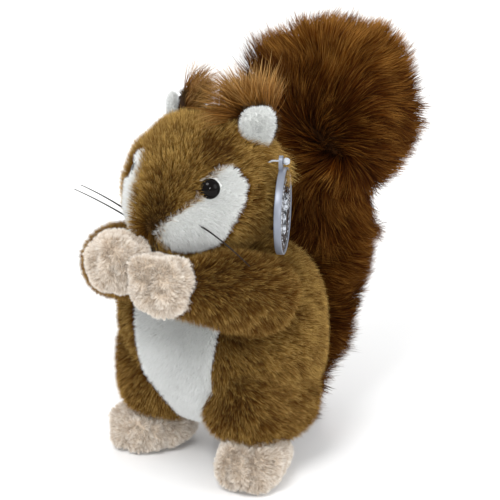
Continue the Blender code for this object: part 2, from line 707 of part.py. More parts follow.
def make_ear(side):
    word = SIDE_NAMES[side]
    centre = sided(side, EAR_ACROSS, -EAR_BACK, HEAD_TOP + EAR_ABOVE_HEAD)
    turn = side * EAR_TURN
    faces = Matrix.Rotation(turn, 3, "Z") @ Vector((0, -1, 0))
    radii = (EAR_HALF_WIDTH, EAR_HALF_THICKNESS, EAR_HALF_HEIGHT)
    size = {"turn": turn, "segments": SMALL_SEGMENTS, "rings": SMALL_RINGS}
    back = lobe(f"ear_back_{word}", centre, radii, BROWN, **size)
    tuft_centre = centre + sided(side, -TUFT_INWARD, 0, TUFT_ABOVE_EAR)
    tuft_radii = (TUFT_HALF_WIDTH, TUFT_HALF_DEPTH, TUFT_HALF_HEIGHT)
    tuft = lobe(f"keep_tuft_{word}", tuft_centre, tuft_radii, segments=SMALL_SEGMENTS, rings=SMALL_RINGS)
    boolean(back, tuft, "UNION")
    lining_centre = centre + faces * (EAR_HALF_THICKNESS - LINING_HALF_THICKNESS / 2)
    lining_radii = (EAR_HALF_WIDTH - LINING_INSET, LINING_HALF_THICKNESS, EAR_HALF_HEIGHT - LINING_INSET)
    lining = lobe(f"ear_lining_{word}", lining_centre, lining_radii, WHITE, **size)
    cut(back, lobe(f"cut_lining_{word}", lining_centre, lining_radii, grow=GAP, **size), head_clear)
    cut(lining, head_clear)
    return back


for side in (LEFT, RIGHT):
    make_ear(side)


def make_tag():
    """A disc turned about its own axis that leans on the head, hung by its lug from a pin with a bead."""
    facing = Vector((math.cos(TAG_FACING), math.sin(TAG_FACING), 0))
    forward = UP.cross(facing) * -1
    ways = [way_on_head(math.radians(angle), 0) for angle in range(60, 180, 3)]
    rests_on = max((on_head(way) for way in ways), key=facing.dot)
    half = TAG_THICKNESS / 2
    centre = rests_on + facing * (half + GAP) + forward * TAG_SLIDES_FORWARD
    centre.z = HEAD_CENTRE.z - TAG_BELOW_MIDDLE
    rim = [(TAG_RADIUS - half + half * math.cos(a), half * math.sin(a))
           for a in (math.radians(angle) for angle in (90, 45, 0, -45, -90))]
    face_radius = TAG_RADIUS - TAG_FACE_INSET
    profile = [(0.0, half - TAG_FACE_DEPTH), (face_radius - TAG_FACE_DEPTH, half - TAG_FACE_DEPTH),
               (face_radius, half), *rim, (0.0, -half)]
    tag = turned("hang_tag", profile, centre, facing, SILVER, steps=24)
    hole = centre + UP * (TAG_RADIUS + TAG_LUG_OUT)
    lug_half = facing * TAG_LUG_THICKNESS / 2
    boolean(tag, cylinder("keep_tag_lug", hole - lug_half, hole + lug_half, TAG_LUG_RADIUS), "UNION")
    cut(tag, cylinder("cut_tag_hole", hole - facing * half, hole + facing * half, PIN_RADIUS + 2 * GAP))
    return hole, facing


def make_pin(hole, facing):
    """The tag's pin: from the seam in front of the ear, through the lug, to a bead."""
    way = (hole - HEAD_CENTRE).normalized()
    root, leaves = on_head(way, PIN_ROOT_DEPTH), on_head(way)
    bead_centre = hole + facing * (TAG_LUG_THICKNESS / 2 + PIN_PAST_TAG + BEAD_RADIUS)
    end = bead_centre - facing * BEAD_RADIUS / 2
    pin = wire("tag_pin", [root, leaves, hole - facing * TAG_THICKNESS / 2, hole, end], PIN_RADIUS,
               CLEAR_PLASTIC)
    bead = lobe("keep_bead", bead_centre, (BEAD_RADIUS,) * 3, segments=SMALL_SEGMENTS, rings=SMALL_RINGS)
    boolean(pin, bead, "UNION")
    return cylinder("cut_pin", on_head(way, PIN_ROOT_DEPTH + GAP), leaves + way * CUT_PAST, PIN_RADIUS + GAP)


pin_room = make_pin(*make_tag())
for name in ("head_cover", "head_stuffing"):
    cut(bpy.data.objects[name], pin_room)


def make_label():
    shape = bmesh.new()
    bmesh.ops.create_cube(shape, size=1.0)
    bmesh.ops.scale(shape, verts=shape.verts, vec=(LABEL_REACH * 2, LABEL_THICKNESS, LABEL_WIDTH))
    bmesh.ops.rotate(shape, verts=shape.verts, matrix=Matrix.Rotation(LABEL_TURN, 3, "Z"))
    bmesh.ops.translate(shape, verts=shape.verts, vec=(LABEL_ACROSS, BODY_REAR - LABEL_BEFORE_REAR, LABEL_HEIGHT))
    label = add("sewn_label", mesh_from(shape, "sewn_label"), ORANGE)
    cut(label, tail_lobe("cut_tail", GAP), body_clear)


make_label()


def stand_on_origin():
    """Hangs everything on one empty, moved so that the squirrel's box stands centred on the origin."""
    seen = bpy.context.evaluated_depsgraph_get()
    points = []
    for piece in PIECES.objects:
        placed = piece.evaluated_get(seen)
        mesh = bpy.data.meshes.new_from_object(placed)
        points += [placed.matrix_world @ vert.co for vert in mesh.vertices]
        bpy.data.meshes.remove(mesh)
    low = [min(point[axis] for point in points) for axis in range(3)]
    high = [max(point[axis] for point in points) for axis in range(3)]
    frame = bpy.data.objects.new("frame", None)
    for thing in [*PIECES.objects, *CUTTERS.objects]:
        thing.parent = frame
    PIECES.objects.link(frame)
    frame.location = (-(low[0] + high[0]) / 2, -(low[1] + high[1]) / 2, -low[2])


stand_on_origin()
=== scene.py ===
import math

import bmesh
import bpy
import numpy as np
from mathutils import Matrix, Vector, kdtree


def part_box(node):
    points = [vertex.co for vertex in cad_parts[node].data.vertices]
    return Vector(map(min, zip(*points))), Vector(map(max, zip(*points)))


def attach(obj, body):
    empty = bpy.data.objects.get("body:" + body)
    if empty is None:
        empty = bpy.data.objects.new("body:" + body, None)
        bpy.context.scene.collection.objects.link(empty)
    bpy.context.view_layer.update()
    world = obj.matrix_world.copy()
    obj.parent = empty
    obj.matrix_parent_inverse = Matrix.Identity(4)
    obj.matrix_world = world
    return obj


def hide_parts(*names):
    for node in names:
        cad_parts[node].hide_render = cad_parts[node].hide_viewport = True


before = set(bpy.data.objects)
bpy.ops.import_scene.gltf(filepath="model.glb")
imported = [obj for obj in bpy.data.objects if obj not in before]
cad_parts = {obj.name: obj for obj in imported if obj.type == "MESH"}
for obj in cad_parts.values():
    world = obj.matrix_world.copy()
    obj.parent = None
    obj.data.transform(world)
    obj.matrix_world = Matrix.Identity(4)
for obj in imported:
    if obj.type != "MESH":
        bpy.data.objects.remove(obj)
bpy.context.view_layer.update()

# The camera stands a metre away, to the squirrel's left and a little above it, with a long lens.
# Every place below is given from the middle of the body on the floor, which its stuffing tells.
fill_low, fill_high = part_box("body_stuffing")
MIDDLE = Vector(((fill_low[0] + fill_high[0]) / 2, (fill_low[1] + fill_high[1]) / 2 - 0.002, 0.0))
LOOKS_FROM, LOOKS_DOWN = math.radians(36), math.radians(21)
LOOKS_AT = Vector((0, 0, 0.105))
back_to_camera = Vector((math.sin(LOOKS_FROM) * math.cos(LOOKS_DOWN),
                         -math.cos(LOOKS_FROM) * math.cos(LOOKS_DOWN), math.sin(LOOKS_DOWN)))
picture_right = Vector((math.cos(LOOKS_FROM), math.sin(LOOKS_FROM), 0.0))
picture_up = back_to_camera.cross(picture_right)
camera = bpy.data.objects.new("camera", bpy.data.cameras.new("camera"))
camera.data.lens, camera.data.sensor_width = 144, 36
camera.location = (MIDDLE + LOOKS_AT + picture_right * 0.015 + picture_up * 0.00443
                   + back_to_camera)
camera.rotation_euler = back_to_camera.to_track_quat("Z", "Y").to_euler()
bpy.context.scene.collection.objects.link(camera)
bpy.context.scene.camera = camera


# The body's cover: a barrel of knitted backing cloth, packed with loose fibre, narrower at the
# hips. It is seamed at the neck, hips and tail. Only the cloth is made here, because the pile is
# brushed up when all is sewn.
def stuffed_form(centre, radii, fullness=2.0, bumps=(), taper=0.0, turn=0.0):
    """A ball-like stuffed form, out to the tips of its pile."""
    return {"centre": np.array(centre) + np.array(MIDDLE), "radii": np.array(radii),
            "fullness": fullness, "bumps": bumps, "taper": taper,
            "turn": np.array(Matrix.Rotation(turn, 3, "Z"))}


def unit(vectors):
    return vectors / (np.linalg.norm(vectors, axis=-1, keepdims=True) + 1e-12)


def bell(distance, spread):
    """One at no distance, falling away smoothly over `spread`."""
    return np.exp(-((distance / spread) ** 2))


def ramp(value, start, length):
    """Nought up to `start`, then rising to one over `length`."""
    return np.clip((value - start) / length, 0, 1)


def angle_between(ways, aim):
    return np.arccos(np.clip(ways @ aim, -1, 1))


def form_reach(form, ways):
    """How far a form's outside lies from its centre along each of the unit `ways`."""
    fullness = form["fullness"]
    reach = (np.abs(ways / form["radii"]) ** fullness).sum(axis=1) ** (-1 / fullness)
    for aim, height, spread in form["bumps"]:
        reach = reach + height * bell(angle_between(ways, aim), spread)
    return reach


def drift(points, size, seed):
    """A smooth value, about -1 to 1, that wanders over distances of `size`."""
    rng = np.random.default_rng(seed)
    total = np.zeros(len(points))
    for _ in range(6):
        way = rng.normal(size=3)
        way *= 2 * math.pi / size * rng.uniform(0.6, 1.5) / np.linalg.norm(way)
        total += np.sin(points @ way + rng.uniform(0, 2 * math.pi))
    return total / 2.4


def add_piece(name, mesh, finish, replaces=()):
    piece = bpy.data.objects.new(name, mesh)
    bpy.context.scene.collection.objects.link(piece)
    mesh.materials.append(finish)
    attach(piece, "root")
    if replaces:
        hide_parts(*replaces)
    return piece


def finished_mesh(shape, name, smooth=True):
    """Turns the bmesh `shape` into a mesh, and frees it."""
    mesh = bpy.data.meshes.new(name)
    shape.to_mesh(mesh)
    shape.free()
    if smooth:
        mesh.shade_smooth()
    return mesh


def in_order(shape):
    """Sorts corners and faces by place, where operators leave them in an order of their own."""
    for items, place in ((shape.verts, lambda vert: vert.co),
                         (shape.faces, lambda face: face.calc_center_median())):
        for i, item in enumerate(sorted(items, key=lambda item: tuple(place(item)))):
            item.index = i
        items.sort()


def stuffed_ball(name, form, inset, finish, replaces, lumps=0.0006, lump_size=0.03,
                 floor=None, detail=4, panel=None):
    """The backing cloth of a ball-like form, `inset` under its pile's tips, over uneven stuffing.

    With `panel`, only the cloth inside that outline is kept, a millimetre thick.
    """
    shape = bmesh.new()
    bmesh.ops.create_icosphere(shape, subdivisions=detail, radius=1.0)
    ways = np.array([vert.co.normalized() for vert in shape.verts])
    places = ways * (form_reach(form, ways) - inset)[:, None]
    places[:, :2] *= (1 - form["taper"] * np.clip(-ways[:, 2], 0, None))[:, None]
    places = places @ form["turn"].T + form["centre"]
    places += (ways @ form["turn"].T) * (lumps * drift(places, lump_size, len(name)))[:, None]
    if floor is not None:
        places[:, 2] = np.maximum(places[:, 2], floor)
    for vert, place in zip(shape.verts, places):
        vert.co = place
    if panel is not None:
        shape.faces.ensure_lookup_table()
        kept = panel(np.array([face.calc_center_median() for face in shape.faces]))
        spare = [face for face, keep in zip(shape.faces, kept) if not keep]
        bmesh.ops.delete(shape, geom=spare, context="FACES")
        bmesh.ops.solidify(shape, geom=shape.faces[:], thickness=0.001)
        bmesh.ops.recalc_face_normals(shape, faces=shape.faces)
        in_order(shape)
    piece = add_piece(name, finished_mesh(shape, name), finish, replaces)
    return piece


def cloth_finish(name, color, other, roughness=0.9):
    """Knitted backing cloth, seen between the fibres: two close tones and a fine loop texture."""
    finish = bpy.data.materials.new(name)
    finish.use_nodes = True
    nodes, links = finish.node_tree.nodes, finish.node_tree.links
    shader = nodes["Principled BSDF"]
    shader.inputs["Roughness"].default_value = roughness
    shader.inputs["Specular IOR Level"].default_value = 0.1
    place = nodes.new("ShaderNodeTexCoord")
    tones = nodes.new("ShaderNodeTexNoise")
    tones.inputs["Scale"].default_value = 180
    tones.inputs["Detail"].default_value = 4
    mix = nodes.new("ShaderNodeMix")
    mix.data_type = "RGBA"
    mix.inputs["A"].default_value = (*color, 1)
    mix.inputs["B"].default_value = (*other, 1)
    loops = nodes.new("ShaderNodeTexVoronoi")
    loops.inputs["Scale"].default_value = 900
    bump = nodes.new("ShaderNodeBump")
    bump.inputs["Strength"].default_value = 0.5
    bump.inputs["Distance"].default_value = 0.0004
    links.new(place.outputs["Object"], tones.inputs["Vector"])
    links.new(place.outputs["Object"], loops.inputs["Vector"])
    links.new(tones.outputs["Fac"], mix.inputs["Factor"])
    links.new(mix.outputs["Result"], shader.inputs["Base Color"])
    links.new(loops.outputs["Distance"], bump.inputs["Height"])
    links.new(bump.outputs["Normal"], shader.inputs["Normal"])
    return finish


BROWN_DEPTH = 0.0044    # how deep the brown pile stands over its cloth
brown_cloth = cloth_finish("brown_backing_cloth", (0.045, 0.022, 0.007), (0.075, 0.038, 0.011))
body_form = stuffed_form((0, 0.002, 0.069), (0.056, 0.046, 0.0535), fullness=2.3, taper=0.10)
body_cloth = stuffed_ball("body_cloth", body_form, BROWN_DEPTH, brown_cloth,
                          ["body_stuffing"])


# The head's cover: an egg of the same cloth with a short muzzle and full cheeks, sewn to the body
# at the neck. Its pile lies a little closer than the body's.
def from_head(around, up):
    """The way out of the head's middle, in degrees round from the nose and up from level."""
    around, up = math.radians(around), math.radians(up)
    return np.array([math.sin(around) * math.cos(up), -math.cos(around) * math.cos(up),
                     math.sin(up)])


HEAD_DEPTH = 0.0030
MUZZLE_LENGTH, MUZZLE_SPREAD = 0.014, math.radians(33)
CHEEK_FULLNESS, CHEEK_SPREAD = 0.004, math.radians(30)
muzzle_way = from_head(0, -19)
head_form = stuffed_form((0, -0.010, 0.150), (0.039, 0.037, 0.035), bumps=[
    (muzzle_way, MUZZLE_LENGTH, MUZZLE_SPREAD),
    (from_head(62, -14), CHEEK_FULLNESS, CHEEK_SPREAD),
    (from_head(-62, -14), CHEEK_FULLNESS, CHEEK_SPREAD),
])
head_cloth = stuffed_ball("head_cloth", head_form, HEAD_DEPTH, brown_cloth,
                          ["head_stuffing"])

# The legs and feet: two full brown lobes at the hips, each hemmed over a beige cushion with a flat
# sole. The feet turn a little outwards, and their toes are marked by creases.
LEFT, RIGHT = 1, -1
SIDES = {LEFT: "left", RIGHT: "right"}
BEIGE_DEPTH = 0.0026
SOLE_HEIGHT = 0.0024
HEM_FULLNESS, HEM_SPREAD = 0.004, math.radians(32)
TOE_CREASE, TOE_CREASE_SPREAD = -0.0020, math.radians(9)
FOOT_TURN = math.radians(20)
FOOT_FORWARD = {LEFT: -0.0175, RIGHT: -0.014}
beige_cloth = cloth_finish("beige_backing_cloth", (0.46, 0.38, 0.30), (0.54, 0.46, 0.37))
leg_forms, leg_cloths, foot_forms, foot_cloths = {}, {}, {}, {}
for side, word in SIDES.items():
    hem_way = unit(np.array([side * 0.6, 0.45, -0.66]))
    leg_forms[side] = stuffed_form((side * 0.0265, -0.0045, 0.046), (0.026, 0.034, 0.031),
                                   fullness=2.5, bumps=[(hem_way, HEM_FULLNESS, HEM_SPREAD)])
    leg_cloths[side] = stuffed_ball(f"leg_cloth_{word}", leg_forms[side], BROWN_DEPTH, brown_cloth,
                                    [f"leg_stuffing_{word}"])
    toe_creases = [(from_head(around, up), TOE_CREASE, TOE_CREASE_SPREAD)
                   for around in (-17, 17) for up in (-8, 8, 24)]
    foot_forms[side] = stuffed_form((side * 0.033, FOOT_FORWARD[side], 0.011),
                                    (0.019, 0.0255, 0.0145), fullness=2.4, bumps=toe_creases,
                                    turn=side * FOOT_TURN)
    foot_cloths[side] = stuffed_ball(f"foot_cloth_{word}", foot_forms[side], BEIGE_DEPTH,
                                     beige_cloth, [f"foot_stuffing_{word}"],
                                     lumps=0.0010, lump_size=0.013, floor=SOLE_HEIGHT)


# The paws and arms: two beige mittens with a thumb, held together at the mouth, on brown sleeves
# that come round from the shoulders. The right paw is a little higher.
def along_stations(stations, across, bluntness, rows=61):
    """A stuffed form through stations of (x, y, z, half width, half depth), closed at its ends."""
    ends = np.array(stations, dtype=float)
    ends[:, :3] += np.array(MIDDLE)
    ends = np.vstack([2 * ends[0] - ends[1], ends, 2 * ends[-1] - ends[-2]])
    t = np.linspace(0, 1, rows)
    i = np.minimum((t * (len(stations) - 1)).astype(int), len(stations) - 2)
    u = (t * (len(stations) - 1) - i)[:, None]
    a, b, c, d = ends[i], ends[i + 1], ends[i + 2], ends[i + 3]
    middle = 0.5 * (2 * b + (c - a) * u + (2 * a - 5 * b + 4 * c - d) * u**2
                    + (3 * b - a - 3 * c + d) * u**3)
    forward = unit(np.gradient(middle[:, :3], axis=0))
    sideways = unit(across - forward * (forward @ across)[:, None])
    fill = np.clip(1 - np.abs(2 * t - 1) ** bluntness, 0, None) ** (1 / bluntness)
    return {"rows": middle, "t": t, "forward": forward, "sideways": sideways,
            "outward": np.cross(forward, sideways), "fill": fill}


def stuffed_tube(name, form, inset, finish, replaces, lumps=0.0006, floor=None, around=44):
    """The backing cloth of a drawn-out form: rings bridged along its middle, closed at its ends."""
    shape = bmesh.new()
    rings = []
    for k in range(1, len(form["rows"]) - 1):
        row, fill_here = form["rows"][k], form["fill"][k]
        centre = row[:3] + form["forward"][k] * (1 - 2 * form["t"][k]) * inset
        wide = form["sideways"][k] * fill_here * (row[3] - inset)
        deep = form["outward"][k] * fill_here * (row[4] - inset)
        ring = [shape.verts.new(centre + wide * math.cos(angle) + deep * math.sin(angle))
                for angle in (2 * math.pi * i / around for i in range(around))]
        rings.append([shape.edges.new((ring[i], ring[(i + 1) % around])) for i in range(around)])
    for one, two in zip(rings, rings[1:]):
        bmesh.ops.bridge_loops(shape, edges=one + two)
    open_edges = [edge for edge in shape.edges if len(edge.link_faces) == 1]
    bmesh.ops.holes_fill(shape, edges=open_edges, sides=0)
    bmesh.ops.triangulate(shape, faces=[face for face in shape.faces if len(face.verts) > 4])
    bmesh.ops.recalc_face_normals(shape, faces=shape.faces)
    shape.normal_update()
    bulge = lumps * drift(np.array([vert.co for vert in shape.verts]), 0.03, len(name))
    for vert, rise in zip(shape.verts, bulge):
        vert.co += vert.normal * rise
        if floor is not None:
            vert.co.z = max(vert.co.z, floor)
    piece = add_piece(name, finished_mesh(shape, name), finish, replaces)
    return piece


UPRIGHT = np.array([0, 0, 1.0])
PAW_HEIGHT = {LEFT: 0.1165, RIGHT: 0.122}
paw_forms, paw_cloths, arm_forms, arm_cloths = {}, {}, {}, {}
for side, word in SIDES.items():
    paw = np.array([side * 0.0138 + 0.0032, -0.067, PAW_HEIGHT[side]])
    thumb_way = unit(np.array([-side * 0.5, -0.6, 0.8]))
    crease_way = unit(np.array([side * 0.15, -0.9, 0.55]))
    inner_crease_way = unit(crease_way + np.array([-side * 0.4, 0, 0.2]))
    paw_forms[side] = stuffed_form(paw, (0.0165, 0.0145, 0.0152), fullness=2.5, bumps=[
        (thumb_way, 0.004, math.radians(26)), (crease_way, -0.0028, math.radians(12)),
        (inner_crease_way, -0.002, math.radians(10))])
    paw_cloths[side] = stuffed_ball(f"paw_cloth_{word}", paw_forms[side], BEIGE_DEPTH, beige_cloth,
                                    [], lumps=0.0010, lump_size=0.012)
    shoulder = np.array([side * 0.034, -0.003, 0.0945])
    elbow = np.array([side * 0.0315, -0.038, 0.1085])
    upper = shoulder + (elbow - shoulder) * 0.45 + np.array([side * 0.005, 0, 0])
    wrist = elbow + (paw - elbow) * 0.55 + np.array([0, -0.004, 0])
    sleeve = [(*place, half, half) for place, half in
              ((shoulder, 0.018), (upper, 0.020), (elbow, 0.020), (wrist, 0.0155), (paw, 0.0132))]
    arm_forms[side] = along_stations(sleeve, UPRIGHT, bluntness=5.0)
    arm_cloths[side] = stuffed_tube(f"arm_cloth_{word}", arm_forms[side], BROWN_DEPTH, brown_cloth,
                                    [f"arm_stuffing_{word}"])

# The tail: a tall stuffed tube of red-brown cloth. It stands on the floor against the lower back,
# where it is sewn on, rises behind the body and ends in a full lobe that leans back.
TAIL_DEPTH = 0.0095
TAIL_ASIDE, BACK_SEAM = 0.005, 0.048
red_brown_cloth = cloth_finish("tail_backing_cloth", (0.030, 0.011, 0.003), (0.050, 0.019, 0.005))
tail_form = along_stations([(TAIL_ASIDE, BACK_SEAM + behind, *row) for behind, *row in [
    (0.006, -0.016, 0.019, 0.019), (0.008, 0.022, 0.025, 0.0215), (0.0155, 0.046, 0.030, 0.0255),
    (0.0235, 0.073, 0.034, 0.0265), (0.029, 0.102, 0.036, 0.0255), (0.030, 0.129, 0.0355, 0.026),
    (0.041, 0.154, 0.046, 0.040), (0.0495, 0.178, 0.047, 0.041), (0.0505, 0.207, 0.037, 0.032)]],
    np.array([1.0, 0, 0]), bluntness=5.0, rows=81)
tail_cloth = stuffed_tube("tail_cloth", tail_form, TAIL_DEPTH, red_brown_cloth,
                          ["tail_stuffing"], floor=0.005)

# The ears: two round pads of dark brown cloth, set in the top seam of the head and turned
# outwards. The outer face of each is lined with white.
EAR_TURN = math.radians(50)
EAR_PLACE = {LEFT: (0.023, -0.002, 0.1785), RIGHT: (-0.0205, -0.002, 0.1765)}
dark_cloth = cloth_finish("ear_backing_cloth", (0.020, 0.010, 0.005), (0.032, 0.016, 0.008))
ear_forms, ear_cloths = {}, {}
for side, word in SIDES.items():
    ear_forms[side] = stuffed_form(EAR_PLACE[side], (0.0125, 0.006, 0.0125), fullness=2.3,
                                   turn=side * EAR_TURN)
    ear_cloths[side] = stuffed_ball(f"ear_cloth_{word}", ear_forms[side], 0.0026, dark_cloth,
                                    [], lumps=0.0003)


# The brown pile: the fine olive-brown nap of the body, head, legs and sleeves. Its roots are dark
# and its tips golden, and it is combed back and down. It ends at the seams of the white panel and
# the face patches.
def inside_form(form, points, margin=0.0):
    """Which points lie deeper than `margin` inside a form."""
    if "rows" not in form:
        offset = (points - form["centre"]) @ form["turn"]
        narrow = 1 - form["taper"] * np.clip(-unit(offset)[:, 2], 0, None)
        offset[:, :2] /= narrow[:, None]
        return np.linalg.norm(offset, axis=1) < form_reach(form, unit(offset)) - margin
    found = np.zeros(len(points), dtype=bool)
    for start in range(0, len(points), 20000):
        some = points[start:start + 20000]
        gaps = some[:, None, :] - form["rows"][None, :, :3]
        nearest = (gaps ** 2).sum(axis=2).argmin(axis=1)
        offset = some - form["rows"][nearest, :3]
        reach = np.maximum(form["rows"][nearest, 3:] * form["fill"][nearest, None] - margin, 1e-4)
        wide = (offset * form["sideways"][nearest]).sum(axis=1) / reach[:, 0]
        deep = (offset * form["outward"][nearest]).sum(axis=1) / reach[:, 1]
        ahead = (offset * form["forward"][nearest]).sum(axis=1)
        found[start:start + 20000] = (wide**2 + deep**2 < 1) & (np.abs(ahead) < 0.004)
    return found


def outside(points, forms, margin=0.005):
    """Points that aren't deep inside any of the other forms, where no pile is sewn in."""
    kept = np.ones(len(points), dtype=bool)
    for form in forms:
        kept &= ~inside_form(form, points, margin)
    return kept


def roots_on(cloth, per_cm2, seed):
    """Places spread evenly over a piece of cloth, each with the outward direction there."""
    mesh = cloth.data
    mesh.calc_loop_triangles()
    corners = np.empty(len(mesh.loop_triangles) * 3, dtype=np.int32)
    mesh.loop_triangles.foreach_get("vertices", corners)
    corners = corners.reshape(-1, 3)
    places, normals = np.empty(len(mesh.vertices) * 3), np.empty(len(mesh.vertices) * 3)
    mesh.vertices.foreach_get("co", places)
    mesh.vertices.foreach_get("normal", normals)
    places, normals = places.reshape(-1, 3), normals.reshape(-1, 3)
    a, b, c = (places[corners[:, i]] for i in range(3))
    area = np.linalg.norm(np.cross(b - a, c - a), axis=1) / 2
    rng = np.random.default_rng(seed)
    number = int(per_cm2 * area.sum() * 10000)
    steps = (np.arange(number) + rng.random(number)) / number
    picked = np.searchsorted(np.cumsum(area) / area.sum(), steps).clip(0, len(area) - 1)
    u, v = rng.random(number), rng.random(number)
    over = u + v > 1
    u[over], v[over] = 1 - u[over], 1 - v[over]
    shares = np.stack([1 - u - v, u, v], axis=1)
    points = np.einsum("nk,nkd->nd", shares, places[corners[picked]])
    return points, unit(np.einsum("nk,nkd->nd", shares, normals[corners[picked]]))


def grow_pile(name, cloth, replaces, comb, where, seed, finish, slot, per_cm2, length, width,
              segments=1, lift=(60, 20), stray=12, swirl=16, swirl_size=0.03, lock=0.0016,
              gather=0.4, wave=0.0, droop=0.0, free=0.0, tone=0.5, tone_spread=0.16,
              patch_size=0.012, patchy=0.14, uneven=0.15, longer=None, paler=None, raised=None):
    """Grows the fibres of a piece of pile fabric as one mesh of tapered blades.

    There are too many for bmesh to place singly. Each stands at `lift` degrees at its root and
    tip, along the way that `comb` gives, and leans to its own lock. `free` is how far it follows
    that way even where it leads off the cloth, as in a tuft. `where`, `longer`, `paler` and
    `raised` each give a value for every root: whether it grows, and what is done to its length,
    tone and lift. The map, OFBake, holds the fibre's tone across and the way along it upwards, so
    that the finish can colour it.
    """
    points, outward = roots_on(cloth, per_cm2, seed)
    kept = where(points)
    points, outward = points[kept], outward[kept]
    n = len(points)
    rng = np.random.default_rng(seed + 1000)

    # Which way each fibre goes, and how long and steep it is.
    aim = comb(points)
    flow = unit(aim - outward * (aim * outward).sum(axis=1)[:, None] + 1e-6)
    aim = unit(aim + 0.012 * stray * rng.normal(size=(n, 3)))
    side = np.cross(outward, flow)
    turn = np.radians(stray * rng.normal(size=n) + swirl * drift(points, swirl_size, seed + 7))
    flow = flow * np.cos(turn)[:, None] + side * np.sin(turn)[:, None]
    size = length * np.clip(1 + uneven * rng.normal(size=n), 0.4, 1.5)
    if longer is not None:
        size = size * longer(points)
    tilt = np.radians(stray * 0.6 * rng.normal(size=n)
                      + swirl * 0.35 * drift(points, swirl_size * 0.7, seed + 8))
    if raised is not None:
        tilt = tilt + np.radians(raised(points))

    # The line of each fibre, kept off the floor, drawn towards its lock's leader and waved.
    path = [points - outward * 0.0006]
    for k in range(segments):
        share = (k + 0.5) / segments
        angle = np.radians(lift[0] + (lift[1] - lift[0]) * share) + tilt
        step = flow * np.cos(angle)[:, None] + outward * np.sin(angle)[:, None]
        step = step * (1 - free) + aim * free
        step[:, 2] -= droop * share
        path.append(path[-1] + unit(step) * (size / segments)[:, None])
    path = np.stack(path, axis=1)
    path[:, :, 2] = np.maximum(path[:, :, 2], 0.0005)
    along = np.arange(segments + 1) / segments
    locks = max(8, int(n / max(1.0, per_cm2 * 10000 * lock**2)))
    leaders = rng.permutation(n)[:locks]
    tree = kdtree.KDTree(len(leaders))
    for i, leader in enumerate(leaders):
        tree.insert(points[leader], i)
    tree.balance()
    mine = leaders[[tree.find(point)[1] for point in points]]
    pull = gather * rng.uniform(0.5, 1.0, size=n)[:, None] * along[None, :] ** 1.4
    path = path + (path[mine] - path) * pull[:, :, None]
    if wave:
        phase = rng.uniform(0, 2 * math.pi, size=n)[mine]
        swing = np.sin(phase[:, None] + along[None, :] * 2 * math.pi * 1.1)
        swing = swing - np.sin(phase)[:, None]
        path += side[:, None, :] * (wave * swing * along[None, :])[:, :, None]

    # The blade along each line: pairs of corners that draw together, and a single point at the tip.
    way = unit(np.diff(path, axis=1))
    across = unit(np.cross(way, outward[:, None, :]))
    upward = np.cross(across, way)
    roll = rng.uniform(-1.0, 1.0, size=n)[:, None, None]
    across = across * np.cos(roll) + upward * np.sin(roll)
    narrowing = (1 - 0.6 * along[:segments] ** 1.5)[None, :, None]
    half = width / 2 * narrowing * rng.uniform(0.7, 1.3, size=n)[:, None, None]
    pairs = np.stack([path[:, :segments] - across * half, path[:, :segments] + across * half],
                     axis=2).reshape(n, segments * 2, 3)
    verts = np.concatenate([pairs, path[:, segments:]], axis=1)
    per = segments * 2 + 1
    ring = np.array([corner for i in range(segments - 1)
                     for corner in (2 * i, 2 * i + 1, 2 * i + 3, 2 * i + 2)]
                    + [per - 3, per - 2, per - 1])

    # The map that carries each fibre's tone.
    shade = tone + tone_spread * (0.75 * rng.normal(size=n) + 0.70 * rng.normal(size=n)[mine])
    shade += patchy * drift(points, patch_size, seed + 9)
    if paler is not None:
        shade += paler(points)
    map_v = np.concatenate([np.repeat(along[:segments], 2), [1.0]]) * 0.96 + 0.02
    map_u = np.concatenate([np.tile([-0.004, 0.004], segments), [0.0]])
    uv = np.stack([np.clip(shade, 0.02, 0.98)[:, None] + map_u[ring][None, :],
                   np.broadcast_to(map_v[ring], (n, len(ring)))], axis=2)

    mesh = bpy.data.meshes.new(name)
    mesh.vertices.add(n * per)
    mesh.vertices.foreach_set("co", verts.astype(np.float32).ravel())
    mesh.loops.add(n * len(ring))
    corners = ring[None, :] + np.arange(n)[:, None] * per
    mesh.loops.foreach_set("vertex_index", corners.ravel().astype(np.int32))
    mesh.polygons.add(n * segments)
    starts = np.arange(segments)[None, :] * 4 + np.arange(n)[:, None] * len(ring)
    mesh.polygons.foreach_set("loop_start", starts.ravel().astype(np.int32))
    layer = mesh.uv_layers.new(name="OFBake")
    layer.uv.foreach_set("vector", uv.astype(np.float32).ravel())
    mesh.update(calc_edges=True)
    mesh.shade_smooth()
    return add_piece(name, mesh, finish, replaces)


